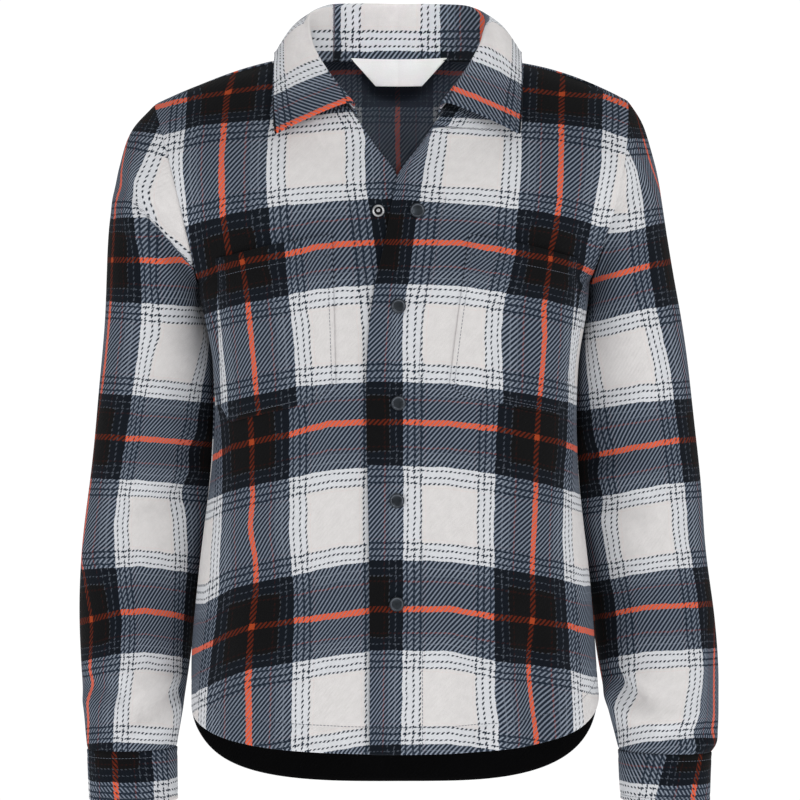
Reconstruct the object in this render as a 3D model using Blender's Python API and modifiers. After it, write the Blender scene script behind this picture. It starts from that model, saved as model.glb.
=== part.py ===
"""Plaid shirt jacket, worn shape with nobody in it, open at neck, hem and cuffs.

Metres. +Z up, the fronts face -Y, X runs to the viewer's right.
The origin is the middle of the neck base, level with the neck ends of the shoulder seams.
"""
import bpy
import numpy as np
from mathutils import Matrix, Vector

# Sizes
WALL = 0.0018            # cloth thickness
DOUBLE = 0.0030          # cuffs, two layers sewn together
COLLAR_WALL = 0.0024     # collar, two layers pressed flat
CUFF_SEAM = 0.0009       # the cuff's top, below the sleeve's end
POCKET_WALL = 0.0016
POCKET_LIFT = 0.0011     # clear of the front
SEAM_GAP = 0.0003        # between pieces at a seam
FRONT_LAP = 0.0020       # each front moves this far from the mid surface where they overlap
LAP_FULL = 0.036         # across distance up to which the fronts are fully apart
LAP_FADE = 0.080         # distance over which they come back to the mid surface
LAP_SLOPE = 0.0020       # fall of each front's edge towards its far side, which keeps the lap even
NECK_FADE = 0.16         # share of a panel's height, under the shoulder, over which the lap dies out
PIT = 0.62               # share of a panel's height at which the armhole begins
UNDERARM_CLEAR = 0.0024  # the sleeve starts beside the panel's wall there, not on top of it
TURN_HANDLE = 0.62       # roundness of a panel's row where it turns into the side seam
END_HANDLE = 0.33
COLLAR_FOLD = 0.0045     # half the thickness of the collar's roll
COLLAR_KNOTS = (0.0, 0.22, 0.38, 0.46, 0.54, 0.75, 1.0)
CAP_DIAMETER = 0.0150
CAP_HEIGHT = 0.0032
STUD_DIAMETER = 0.0125
STUD_HEIGHT = 0.0036
SNAP_LIFT = 0.0006       # clear of the cloth's facets
SNAP_SIDES = 18
CUFF_SNAP_SCALE = 0.86
CUFF_SNAP_AT = (0.5, 0.66)       # share of the cuff's height, share of the way round
LABEL_WALL = 0.0007
LABEL_GAP = 0.0006       # clear of the collar's foot, which it is sewn to

CLOTH_COLOUR = (0.32, 0.35, 0.40)
CLOTH_ROUGHNESS = 0.92
METAL_COLOUR = (0.10, 0.10, 0.11)
METAL_ROUGHNESS = 0.35
LABEL_COLOUR = (0.82, 0.82, 0.80)
LABEL_ROUGHNESS = 0.85

# Triangle counts stay low: samples across and along each piece
FRONT_COLUMNS = 19
BACK_COLUMNS = 13
LOW_ROWS = 12            # hem to underarm; the armhole rows are shared with the sleeve ring
RING_SAMPLES = 32
SLEEVE_ROWS = 16
# Row numbers as shares of all, and the shares of the sleeve's length they stand at
SLEEVE_SPACING = ((0.0, 0.2, 0.4, 0.8, 1.0), (0.0, 0.11, 0.30, 0.80, 1.0))
COLLAR_COLUMNS = 30
COLLAR_ROWS = (0.0, 0.095, 0.19, 0.285, 0.38, 0.42, 0.46, 0.50, 0.54, 0.58, 0.685, 0.79, 0.895, 1.0)
POCKET_ROWS = 10

# Front edge, then the front neckline: share of height, across (minus is past the middle), depth, height
FRONT_EDGE = (
    (0.00, -0.0270, -0.1300, -0.7045),
    (0.15, -0.0270, -0.1285, -0.6000),
    (0.30, -0.0280, -0.1262, -0.4900),
    (0.42, -0.0300, -0.1260, -0.3900),
    (0.52, -0.0300, -0.1280, -0.3150),
    (0.62, -0.0240, -0.1275, -0.2500),
    (0.70, -0.0130, -0.1240, -0.2000),
    (0.78, -0.0040, -0.1180, -0.1500),
    (0.82, 0.0010, -0.1135, -0.1270),
    (0.88, 0.0240, -0.1010, -0.0940),
    (0.93, 0.0460, -0.0880, -0.0610),
    (0.96, 0.0660, -0.0680, -0.0350),
    (0.98, 0.0800, -0.0440, -0.0130),
    (1.00, 0.0880, -0.0180, 0.0010),
)
# Centre back, then the back neckline: share of height, across, depth, height
BACK_EDGE = (
    (0.00, 0.0000, 0.1250, -0.7630),
    (0.15, 0.0000, 0.1225, -0.6400),
    (0.30, 0.0000, 0.1190, -0.5100),
    (0.42, 0.0000, 0.1170, -0.4000),
    (0.52, 0.0000, 0.1185, -0.3150),
    (0.62, 0.0000, 0.1215, -0.2350),
    (0.70, 0.0000, 0.1220, -0.1700),
    (0.78, 0.0000, 0.1165, -0.1050),
    (0.85, 0.0000, 0.1030, -0.0500),
    (0.90, 0.0000, 0.0830, -0.0080),
    (0.93, 0.0000, 0.0680, 0.0120),
    (0.955, 0.0380, 0.0600, 0.0110),
    (0.975, 0.0680, 0.0380, 0.0085),
    (0.99, 0.0840, 0.0080, 0.0050),
    (1.00, 0.0880, -0.0180, 0.0010),
)
# Side seam: share of height, across left, across right, depth, height left, height right
SIDE_SEAM = (
    (0.00, 0.2132, 0.2096, 0.0120, -0.6690, -0.6560),
    (0.10, 0.2125, 0.2050, 0.0125, -0.6080, -0.6000),
    (0.20, 0.2075, 0.1990, 0.0130, -0.5430, -0.5370),
    (0.30, 0.2000, 0.1920, 0.0135, -0.4740, -0.4700),
    (0.38, 0.1935, 0.1865, 0.0140, -0.4140, -0.4120),
    (0.46, 0.1905, 0.1855, 0.0150, -0.3500, -0.3490),
    (0.52, 0.1925, 0.1885, 0.0160, -0.3040, -0.3030),
    (0.57, 0.1985, 0.1940, 0.0170, -0.2670, -0.2660),
    (0.62, 0.2065, 0.1995, 0.0180, -0.2300, -0.2290),
)
# Row shape: share of height, turn at the outer end in degrees, start handle, bend of the heights
FRONT_ROW = (
    (0.00, 90.0, 0.60, 2.70),
    (0.15, 90.0, 0.60, 2.30),
    (0.50, 90.0, 0.60, 1.80),
    (0.62, 90.0, 0.58, 1.50),
    (0.67, 66.0, 0.52, 1.40),
    (0.73, 42.0, 0.46, 1.35),
    (0.80, 30.0, 0.42, 1.35),
    (0.88, 24.0, 0.38, 1.45),
    (1.00, 8.0, 0.33, 1.70),
)
BACK_ROW = (
    (0.00, 90.0, 0.60, 2.60),
    (0.15, 90.0, 0.60, 2.20),
    (0.50, 90.0, 0.60, 1.80),
    (0.62, 90.0, 0.58, 1.50),
    (0.67, 66.0, 0.54, 1.40),
    (0.73, 44.0, 0.50, 1.40),
    (0.80, 30.0, 0.46, 1.45),
    (0.88, 20.0, 0.40, 1.55),
    (0.94, 6.0, 0.35, 1.65),
    (1.00, -8.0, 0.33, 1.70),
)
# Armhole angle reached at each share of height: 0 is the underarm, 180 the shoulder tip
FRONT_ARMHOLE = ((0.62, 0.0), (0.69, 30.0), (0.76, 58.0), (0.82, 84.0), (0.88, 108.0),
                 (0.93, 130.0), (0.96, 149.0), (0.98, 164.0), (1.00, 180.0))
BACK_ARMHOLE = ((0.62, 0.0), (0.70, 31.0), (0.77, 60.0), (0.84, 86.0), (0.89, 105.0),
                (0.93, 122.0), (0.955, 139.0), (0.975, 155.0), (0.99, 169.0), (1.00, 180.0))

# Sleeve rings from the armhole to the cuff. Outer and inner are the ends of the ring's long axis:
# share, outer across, outer depth, outer height, inner across, inner depth, inner height,
# front half depth, back half depth, front bow, back bow
LEFT_SLEEVE = (
    (0.000, 0.2510, -0.0080, -0.0460, 0.2065, 0.0180, -0.2300, 0.066, 0.062, 0.004, 0.010),
    (0.045, 0.2730, 0.0040, -0.0700, 0.2078, 0.0275, -0.2420, 0.066, 0.064, 0.003, 0.006),
    (0.100, 0.2870, 0.0130, -0.1080, 0.2060, 0.0350, -0.2540, 0.066, 0.065, 0.002, 0.003),
    (0.170, 0.2970, 0.0200, -0.1600, 0.2030, 0.0410, -0.2680, 0.066, 0.065, 0.001, 0.001),
    (0.250, 0.3035, 0.0270, -0.2200, 0.1980, 0.0460, -0.2900, 0.066, 0.065, 0.000, 0.000),
    (0.330, 0.3095, 0.0340, -0.2800, 0.1930, 0.0500, -0.3250, 0.065, 0.065, 0.000, 0.000),
    (0.430, 0.3170, 0.0430, -0.3550, 0.1885, 0.0530, -0.3750, 0.063, 0.064, 0.000, 0.000),
    (0.530, 0.3245, 0.0510, -0.4320, 0.1900, 0.0610, -0.4400, 0.061, 0.062, 0.000, 0.000),
    (0.640, 0.3300, 0.0510, -0.5130, 0.1985, 0.0610, -0.5150, 0.059, 0.060, 0.000, 0.000),
    (0.740, 0.3325, 0.0460, -0.5820, 0.2115, 0.0510, -0.5820, 0.056, 0.057, 0.000, 0.000),
    (0.840, 0.3305, 0.0380, -0.6450, 0.2220, 0.0400, -0.6440, 0.051, 0.052, 0.000, 0.000),
    (0.930, 0.3270, 0.0300, -0.6950, 0.2300, 0.0300, -0.6930, 0.045, 0.046, 0.000, 0.000),
    (1.000, 0.3240, 0.0250, -0.7170, 0.2325, 0.0250, -0.7150, 0.0405, 0.0405, 0.000, 0.000),
)
RIGHT_SLEEVE = (
    (0.000, 0.2380, -0.0080, -0.0420, 0.1995, 0.0180, -0.2290, 0.066, 0.062, -0.008, 0.006),
    (0.045, 0.2560, 0.0040, -0.0660, 0.2008, 0.0275, -0.2410, 0.066, 0.064, -0.005, 0.003),
    (0.100, 0.2690, 0.0130, -0.1040, 0.1995, 0.0350, -0.2530, 0.066, 0.065, -0.002, 0.001),
    (0.170, 0.2785, 0.0200, -0.1580, 0.1970, 0.0410, -0.2670, 0.066, 0.065, 0.000, 0.000),
    (0.250, 0.2890, 0.0270, -0.2190, 0.1930, 0.0460, -0.2890, 0.066, 0.065, 0.000, 0.000),
    (0.330, 0.2990, 0.0340, -0.2790, 0.1885, 0.0500, -0.3240, 0.065, 0.065, 0.000, 0.000),
    (0.430, 0.3110, 0.0430, -0.3540, 0.1845, 0.0530, -0.3740, 0.063, 0.064, 0.000, 0.000),
    (0.530, 0.3190, 0.0510, -0.4310, 0.1840, 0.0600, -0.4390, 0.061, 0.062, 0.000, 0.000),
    (0.640, 0.3245, 0.0510, -0.5120, 0.1920, 0.0600, -0.5140, 0.059, 0.060, 0.000, 0.000),
    (0.740, 0.3320, 0.0460, -0.5830, 0.2045, 0.0510, -0.5830, 0.056, 0.057, 0.000, 0.000),
    (0.840, 0.3375, 0.0380, -0.6500, 0.2170, 0.0400, -0.6480, 0.052, 0.053, 0.000, 0.000),
    (0.930, 0.3370, 0.0300, -0.7050, 0.2290, 0.0300, -0.7020, 0.046, 0.047, 0.000, 0.000),
    (1.000, 0.3265, 0.0250, -0.7200, 0.2330, 0.0250, -0.7180, 0.0400, 0.0400, 0.000, 0.000),
)
# Cuff rings, same columns
LEFT_CUFF = (
    (0.000, 0.3246, 0.0250, -0.7174, 0.2318, 0.0250, -0.7154, 0.0410, 0.0410, 0.0, 0.0),
    (0.500, 0.3235, 0.0220, -0.7425, 0.2315, 0.0220, -0.7415, 0.0405, 0.0405, 0.0, 0.0),
    (1.000, 0.3220, 0.0190, -0.7680, 0.2310, 0.0190, -0.7680, 0.0400, 0.0400, 0.0, 0.0),
)
RIGHT_CUFF = (
    (0.000, 0.3272, 0.0250, -0.7204, 0.2322, 0.0250, -0.7184, 0.0405, 0.0405, 0.0, 0.0),
    (0.500, 0.3262, 0.0220, -0.7440, 0.2330, 0.0220, -0.7430, 0.0400, 0.0400, 0.0, 0.0),
    (1.000, 0.3255, 0.0190, -0.7690, 0.2345, 0.0190, -0.7680, 0.0392, 0.0392, 0.0, 0.0),
)
# Collar, one half from centre back to the front end: share, then across/depth/height
# of its foot just inside the neckline, of the roll at its top, and of its free edge
COLLAR = (
    (0.00, 0.0000, 0.0635, 0.0085, 0.0000, 0.0780, 0.0690, 0.0000, 0.0980, 0.0060),
    (0.20, 0.0310, 0.0582, 0.0078, 0.0450, 0.0695, 0.0690, 0.0560, 0.0930, 0.0060),
    (0.40, 0.0613, 0.0388, 0.0055, 0.0765, 0.0430, 0.0640, 0.1000, 0.0620, 0.0070),
    (0.55, 0.0795, 0.0075, 0.0015, 0.0925, 0.0120, 0.0510, 0.1260, 0.0180, 0.0110),
    (0.68, 0.0833, -0.0172, -0.0025, 0.0930, -0.0200, 0.0330, 0.1265, -0.0290, 0.0020),
    (0.80, 0.0752, -0.0425, -0.0175, 0.0865, -0.0500, 0.0100, 0.1262, -0.0650, -0.0210),
    (0.91, 0.0592, -0.0680, -0.0405, 0.0700, -0.0800, -0.0200, 0.1250, -0.0940, -0.0520),
    (1.00, 0.0412, -0.0836, -0.0624, 0.0475, -0.0965, -0.0505, 0.1225, -0.1110, -0.0840),
)
# Pockets as seen from the front: share of width, across and height of the top edge, of the lower edge
POCKET_SHARES = (0.0, 0.10, 0.25, 0.40, 0.52, 0.62, 0.71, 0.80, 0.88, 0.94, 1.0)
LEFT_POCKET = (
    (0.00, 0.0656, -0.1863, 0.0616, -0.3375),
    (0.10, 0.0778, -0.1884, 0.0720, -0.3500),
    (0.88, 0.1700, -0.2042, 0.1690, -0.3735),
    (1.00, 0.1835, -0.2066, 0.1795, -0.3590),
)
RIGHT_POCKET = (
    (0.00, 0.0716, -0.1863, 0.0526, -0.3355),
    (0.10, 0.0830, -0.1883, 0.0680, -0.3475),
    (0.88, 0.1720, -0.2038, 0.1610, -0.3665),
    (1.00, 0.1845, -0.2062, 0.1715, -0.3520),
)
# Snaps on the overlapping front: across from the middle, height
SNAPS = (("snap_top", 0.0200, -0.1625), ("snap_second", 0.0010, -0.2580),
         ("snap_third", 0.0010, -0.3545), ("snap_fourth", -0.0005, -0.4520),
         ("snap_hem", -0.0005, -0.5550))
STUD_AT = (0.0190, -0.1625)      # on the left front, across and height
# Label corners, clockwise from the top left: across, height
LABEL = ((-0.0470, 0.0105), (0.0500, 0.0105), (0.0245, -0.0200), (-0.0220, -0.0200))

LEFT, RIGHT = -1, 1
HIGH_ROWS = RING_SAMPLES // 2
# Sleeve ring numbers met by the front's and by the back's armhole rows, from the underarm up
FRONT_RING = np.arange(HIGH_ROWS + 1)
BACK_RING = -FRONT_RING % RING_SAMPLES


def smooth(table, column, at):
    """Value of one table column at the shares given, along a smooth curve through the rows."""
    rows = np.asarray(table, float)
    at = np.asarray(at, float)
    xs, ys = rows[:, 0], rows[:, column]
    slope = np.gradient(ys, xs)
    i = np.clip(np.searchsorted(xs, at, side="right") - 1, 0, len(xs) - 2)
    h = xs[i + 1] - xs[i]
    u = np.clip((at - xs[i]) / h, 0.0, 1.0)
    return ((2 * u ** 3 - 3 * u ** 2 + 1) * ys[i] + (u ** 3 - 2 * u ** 2 + u) * h * slope[i]
            + (3 * u ** 2 - 2 * u ** 3) * ys[i + 1] + (u ** 3 - u ** 2) * h * slope[i + 1])


def ease(t):
    t = np.clip(t, 0.0, 1.0)
    return t * t * (3 - 2 * t)


def ring_point(table, share, angle):
    """Point of a sleeve or cuff ring in across, depth, height. Angle 90 is the front."""
    c = [smooth(table, k, share) for k in range(1, 11)]
    outer, inner = np.stack(c[0:3], -1), np.stack(c[3:6], -1)
    turn = np.radians(angle)
    cos, sin = np.cos(turn)[..., None], np.sin(turn)
    point = inner * (1 + cos) / 2 + outer * (1 - cos) / 2
    depth = (c[6] + c[7]) / 2 + (c[6] - c[7]) / 2 * sin
    bow = (c[8] + c[9]) / 2 + (c[8] - c[9]) / 2 * sin
    point = point.copy()
    point[..., 0] -= bow * sin * sin
    point[..., 1] -= depth * sin
    return point


def outer_end(side, face, v):
    """Side seam below the armhole, armhole above it."""
    sleeve = LEFT_SLEEVE if side == LEFT else RIGHT_SLEEVE
    low = np.minimum(v, PIT)
    seam = np.stack([smooth(SIDE_SEAM, 1 if side == LEFT else 2, low),
                     smooth(SIDE_SEAM, 3, low),
                     smooth(SIDE_SEAM, 4 if side == LEFT else 5, low)], -1)
    table = FRONT_ARMHOLE if face == "front" else BACK_ARMHOLE
    angle = smooth(table, 1, np.maximum(v, PIT))
    if face == "back":
        angle = -angle
    hole = ring_point(sleeve, np.zeros_like(v), angle)
    return np.where((v < PIT)[..., None], seam, hole)


def panel_point(side, face, s, v):
    """Mid surface of a front or half back. s runs to the side seam, v up to the shoulder seam."""
    s, v = np.broadcast_arrays(np.asarray(s, float), np.asarray(v, float))
    edge = FRONT_EDGE if face == "front" else BACK_EDGE
    row = FRONT_ROW if face == "front" else BACK_ROW
    facing = -1.0 if face == "front" else 1.0
    start = np.stack([smooth(edge, k, v) for k in (1, 2, 3)], -1)
    end = outer_end(side, face, v)
    turn = np.radians(smooth(row, 1, v))
    reach = end[..., 0] - start[..., 0]
    rise = np.abs(end[..., 1] - start[..., 1])
    first = smooth(row, 2, v) * reach
    last = TURN_HANDLE * rise * np.abs(np.sin(turn)) + END_HANDLE * reach * np.cos(turn)
    a1 = start[..., 0] + first
    a2 = end[..., 0] - last * np.cos(turn)
    d1 = start[..., 1]
    d2 = end[..., 1] + facing * last * np.sin(turn)
    b0, b1, b2, b3 = (1 - s) ** 3, 3 * s * (1 - s) ** 2, 3 * s * s * (1 - s), s ** 3
    across = b0 * start[..., 0] + b1 * a1 + b2 * a2 + b3 * end[..., 0]
    depth = b0 * start[..., 1] + b1 * d1 + b2 * d2 + b3 * end[..., 1]
    height = start[..., 2] + (end[..., 2] - start[..., 2]) * s ** smooth(row, 3, v)
    if face == "front":
        below_neck = ease((1.0 - v) / NECK_FADE)
        near = ease(1 - (across - LAP_FULL) / LAP_FADE)
        slope = LAP_SLOPE * np.tanh(across / LAP_FULL)
        depth = depth - (side * FRONT_LAP * near + slope) * below_neck
    return np.stack([side * across, depth, height], -1)


def collar_point(c, b):
    """Collar mid surface. c runs from the left end (-1) to the right end (1), b from seam to edge."""
    c, b = np.broadcast_arrays(np.asarray(c, float), np.asarray(b, float))
    share = np.abs(c)
    k = [smooth(COLLAR, i, share) for i in range(1, 10)]
    seam, roll, edge = (np.stack(k[i:i + 3], -1) for i in (0, 3, 6))
    out = edge - roll
    out[..., 2] = 0
    out /= np.maximum(np.linalg.norm(out, axis=-1, keepdims=True), 1e-9)
    up = np.array([0.0, 0.0, 1.0])
    tall = np.minimum(np.linalg.norm(roll - seam, axis=-1, keepdims=True) / 0.06, 1.0)
    knots = [seam,
             seam + (roll - seam) * 0.5 - out * 0.0008,
             roll - up * 0.006 * tall - out * COLLAR_FOLD * 0.75,
             roll - up * 0.001 - out * COLLAR_FOLD * 0.2,
             roll - up * 0.0035 * tall + out * COLLAR_FOLD * 0.9,
             roll + (edge - roll) * 0.45 + (out * 0.4 + up) * 0.006 * tall,
             edge]
    at = np.array(COLLAR_KNOTS)
    stack = np.stack(knots, 0)
    slope = np.gradient(stack, at, axis=0)
    i = np.clip(np.searchsorted(at, b, side="right") - 1, 0, len(at) - 2)
    h = (at[i + 1] - at[i])[..., None]
    u = ((b - at[i])[..., None] / h).clip(0, 1)

    def pick(array, index):
        return np.take_along_axis(array, index[None, ..., None], 0)[0]

    point = ((2 * u ** 3 - 3 * u ** 2 + 1) * pick(stack, i)
             + (u ** 3 - 2 * u ** 2 + u) * h * pick(slope, i)
             + (3 * u ** 2 - 2 * u ** 3) * pick(stack, i + 1)
             + (u ** 3 - u ** 2) * h * pick(slope, i + 1))
    point = point.copy()
    point[..., 0] *= np.sign(np.where(c == 0, 1.0, c))
    return point


def surface_normal(surface, s, v, step=1e-4):
    """Unit normals of a mid surface by small differences, kept inside its range."""
    s0, s1 = np.maximum(s - step, 0.0), np.minimum(s + step, 1.0)
    v0, v1 = np.maximum(v - step, 0.0), np.minimum(v + step, 1.0)
    n = np.cross(surface(s1, v) - surface(s0, v), surface(s, v1) - surface(s, v0))
    return n / np.maximum(np.linalg.norm(n, axis=-1, keepdims=True), 1e-12)


def panel_normals(side, face, s, v):
    """Unit normals of a panel, pointing out of the garment."""
    def at(p, q):
        return panel_point(side, face, p, q)
    probe = surface_normal(at, np.array([0.3]), np.array([0.4]))[0]
    turned_right = np.sign(probe[1]) == (-1.0 if face == "front" else 1.0)
    return surface_normal(at, s, v) * (1.0 if turned_right else -1.0)


def sleeve_surface(side, table):
    """Sleeve or cuff as a function of the share of its length and the share of the way round."""
    def at(share, turn):
        point = ring_point(table, share, turn * 360.0)
        point[..., 0] *= side
        return point
    return at


def ring_normals(surface, share, turn, step=1e-4):
    """Unit normals of one sleeve ring, pointing out of the sleeve."""
    above, below = np.maximum(share - step, 0), np.minimum(share + step, 1)
    n = np.cross(surface(below, turn) - surface(above, turn),
                 surface(share, turn + step) - surface(share, turn - step))
    n /= np.maximum(np.linalg.norm(n, axis=-1, keepdims=True), 1e-12)
    centre = (surface(share, turn * 0) + surface(share, turn * 0 + 0.5)) / 2
    return n * np.sign(np.sum(n * (surface(share, turn) - centre)))


def row_shares(face):
    """Heights of a panel's rows. Those of the armhole are shared with the sleeve's first ring."""
    low = np.linspace(0.0, PIT, LOW_ROWS + 1)[:-1]
    angles = np.linspace(0, 180, HIGH_ROWS + 1)
    table = FRONT_ARMHOLE if face == "front" else BACK_ARMHOLE
    fine = np.linspace(PIT, 1.0, 800)
    return np.concatenate([low, np.interp(angles, smooth(table, 1, fine), fine)])


def seam_normals(side, table):
    """Normals of the sleeve and of the body round one armhole, alike where their cloth runs on."""
    turns = np.arange(RING_SAMPLES) / RING_SAMPLES
    sleeve = ring_normals(sleeve_surface(side, table), np.zeros(RING_SAMPLES), turns)
    body = np.zeros_like(sleeve)
    for face, ring in (("front", FRONT_RING), ("back", BACK_RING)):
        v = row_shares(face)[LOW_ROWS:]
        body[ring] += panel_normals(side, face, np.ones_like(v), v)
    body /= np.maximum(np.linalg.norm(body, axis=-1, keepdims=True), 1e-9)
    mean = body + sleeve
    mean /= np.maximum(np.linalg.norm(mean, axis=-1, keepdims=True), 1e-9)
    alike = np.sum(body * sleeve, -1, keepdims=True) > 0.1
    return np.where(alike, mean, sleeve), np.where(alike, mean, body)


def shoulder_normals(side, s):
    """Normals shared by front and back along the shoulder seam."""
    top = np.ones_like(s)
    n = panel_normals(side, "front", s, top) + panel_normals(side, "back", s, top)
    return n / np.linalg.norm(n, axis=-1, keepdims=True)


def front_on(side, across, height, tries=24, step=1e-4):
    """Shares s and v of the front panel's points seen at the given across and height."""
    across, height = np.broadcast_arrays(np.asarray(across, float), np.asarray(height, float))
    s, v = np.full(across.shape, 0.5), np.full(across.shape, 0.5)
    for _ in range(tries):
        p = panel_point(side, "front", s, v)
        ds = (panel_point(side, "front", s + step, v) - p) / step
        dv = (panel_point(side, "front", s, v + step) - p) / step
        miss_a, miss_h = across - p[..., 0] * side, height - p[..., 2]
        det = ds[..., 0] * side * dv[..., 2] - dv[..., 0] * side * ds[..., 2]
        s = np.clip(s + 0.8 * (miss_a * dv[..., 2] - miss_h * dv[..., 0] * side) / det, 0.001, 0.998)
        v = np.clip(v + 0.8 * (miss_h * ds[..., 0] * side - miss_a * ds[..., 2]) / det, 0.001, 0.998)
    return s, v


def draw_in(points, side=0.0, top=0.0):
    """Draw the last column and the last row of a grid back from their seams."""
    points = points.copy()
    for amount, edge, near in ((side, np.s_[:, -1], np.s_[:, -2]), (top, np.s_[-1], np.s_[-2])):
        step = points[near] - points[edge]
        points[edge] += step / np.linalg.norm(step, axis=-1, keepdims=True) * amount
    return points


def grid_faces(index, tube=False):
    """Quads between the rows and columns of a grid of vertex numbers."""
    right = np.roll(index, -1, axis=1)
    quads = np.stack([index[:-1], right[:-1], right[1:], index[1:]], -1)
    return (quads if tube else quads[:, :-1]).reshape(-1, 4)


def add_object(name, mesh, colour, roughness, metallic=0.0):
    """Named object with a material of its own, held at the shoulders."""
    look = bpy.data.materials.new(name)
    look.use_nodes = True
    shader = look.node_tree.nodes["Principled BSDF"]
    shader.inputs["Base Color"].default_value = (*colour, 1)
    shader.inputs["Roughness"].default_value = roughness
    shader.inputs["Metallic"].default_value = metallic
    look.diffuse_color = (*colour, 1)
    mesh.materials.append(look)
    mesh.shade_smooth()
    piece = bpy.data.objects.new(name, mesh)
    garment.objects.link(piece)
    piece.parent = shoulder_hold
    return piece


def thick_cloth(name, points, wall, tube=False, colour=CLOTH_COLOUR, roughness=CLOTH_ROUGHNESS):
    """Cloth on a grid of mid points, thickened by a modifier. A tube closes on its first column."""
    index = np.arange(points.shape[0] * points.shape[1]).reshape(points.shape[:2])
    mesh = bpy.data.meshes.new(name)
    mesh.from_pydata(points.reshape(-1, 3).tolist(), [], grid_faces(index, tube).tolist())
    piece = add_object(name, mesh, colour, roughness)
    modifier = piece.modifiers.new("wall", "SOLIDIFY")
    modifier.thickness = wall
    modifier.offset = 0.0


def lofted_cloth(name, points, normals, faces):
    """Cloth on a mid surface whose wall follows given normals, so that it meets its neighbours."""
    used = np.unique(faces)
    faces = np.searchsorted(used, faces)
    points, normals = points.reshape(-1, 3)[used], normals.reshape(-1, 3)[used]
    facing = np.cross(points[faces[:, 2]] - points[faces[:, 0]], points[faces[:, 3]] - points[faces[:, 1]])
    if np.sum(facing * normals[faces[:, 0]]) < 0:
        faces = faces[:, ::-1]
    count = len(points)
    outer = faces.tolist()
    inner = (faces[:, ::-1] + count).tolist()
    edges = {(quad[k - 1], quad[k]) for quad in outer for k in range(4)}
    rim = [(b, a, a + count, b + count) for a, b in sorted(edges) if (b, a) not in edges]
    mesh = bpy.data.meshes.new(name)
    verts = np.vstack([points + normals * WALL / 2, points - normals * WALL / 2])
    mesh.from_pydata(verts.tolist(), [], outer + inner + rim)
    add_object(name, mesh, CLOTH_COLOUR, CLOTH_ROUGHNESS)


def add_front(side, name, armhole):
    s, v = np.meshgrid(np.linspace(0, 1, FRONT_COLUMNS), row_shares("front"))
    points = draw_in(panel_point(side, "front", s, v), side=SEAM_GAP / 2, top=SEAM_GAP / 2)
    normals = panel_normals(side, "front", s, v)
    normals[LOW_ROWS:, -1] = armhole[FRONT_RING]
    normals[-1] = shoulder_normals(side, s[-1])
    lofted_cloth(name, points, normals, grid_faces(np.arange(s.size).reshape(s.shape)))


def add_back(armholes):
    """Both halves in one piece. They share their points where they meet below the neckline."""
    s, v = np.meshgrid(np.linspace(0, 1, BACK_COLUMNS), row_shares("back"))
    index = np.arange(2 * s.size).reshape(2, *s.shape)
    points, normals = np.zeros((2, *s.shape, 3)), np.zeros((2, *s.shape, 3))
    for half, side in enumerate((LEFT, RIGHT)):
        points[half] = draw_in(panel_point(side, "back", s, v), side=SEAM_GAP / 2, top=SEAM_GAP / 2)
        normals[half] = panel_normals(side, "back", s, v)
        normals[half, LOW_ROWS:, -1] = armholes[half][BACK_RING]
        normals[half, -1] = shoulder_normals(side, s[-1])
    middle = np.abs(points[0, :, 0, 0]) < 1e-7
    index[1, middle, 0] = index[0, middle, 0]
    normals[:, middle, 0, 0] = 0.0
    normals /= np.linalg.norm(normals, axis=-1, keepdims=True)
    faces = np.vstack([grid_faces(index[0])[:, ::-1], grid_faces(index[1])])
    lofted_cloth("back", points, normals, faces)


def add_sleeve(side, name, table, armhole):
    rows = np.interp(np.linspace(0, 1, SLEEVE_ROWS), *SLEEVE_SPACING)
    turns, share = np.meshgrid(np.arange(RING_SAMPLES) / RING_SAMPLES, rows)
    surface = sleeve_surface(side, table)
    points = surface(share, turns)
    normals = np.stack([ring_normals(surface, share[i], turns[i]) for i in range(len(rows))])
    normals[0] = armhole
    under = (0.5 + 0.5 * np.cos(2 * np.pi * turns[0])) ** 2
    clear = SEAM_GAP + UNDERARM_CLEAR * under
    points[0, :, 0] += side * clear
    points[0, :, 2] -= 0.25 * clear
    lofted_cloth(name, points, normals, grid_faces(np.arange(share.size).reshape(share.shape), tube=True))


def add_cuff(side, name, table):
    turns, share = np.meshgrid(np.arange(RING_SAMPLES) / RING_SAMPLES, np.linspace(0, 1, 4))
    points = sleeve_surface(side, table)(share, turns)
    points[0, :, 2] -= CUFF_SEAM
    thick_cloth(name, points, DOUBLE, tube=True)


def add_collar():
    c, b = np.meshgrid(np.linspace(-1, 1, COLLAR_COLUMNS + 1), COLLAR_ROWS)
    thick_cloth("collar", collar_point(c, b), COLLAR_WALL)


def add_pocket(side, name, table):
    """A grid between the pocket's top and lower edges, laid on the front and moved out."""
    p, q = np.meshgrid(POCKET_SHARES, np.linspace(0, 1, POCKET_ROWS + 1))
    edges = [np.interp(p, [row[0] for row in table], [row[k] for row in table]) for k in (1, 2, 3, 4)]
    across = edges[0] + (edges[2] - edges[0]) * q
    height = edges[1] + (edges[3] - edges[1]) * q
    s, v = front_on(side, across, height)
    out = panel_normals(side, "front", s, v) * (WALL / 2 + POCKET_LIFT + POCKET_WALL / 2)
    thick_cloth(name, panel_point(side, "front", s, v) + out, POCKET_WALL)


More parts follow.
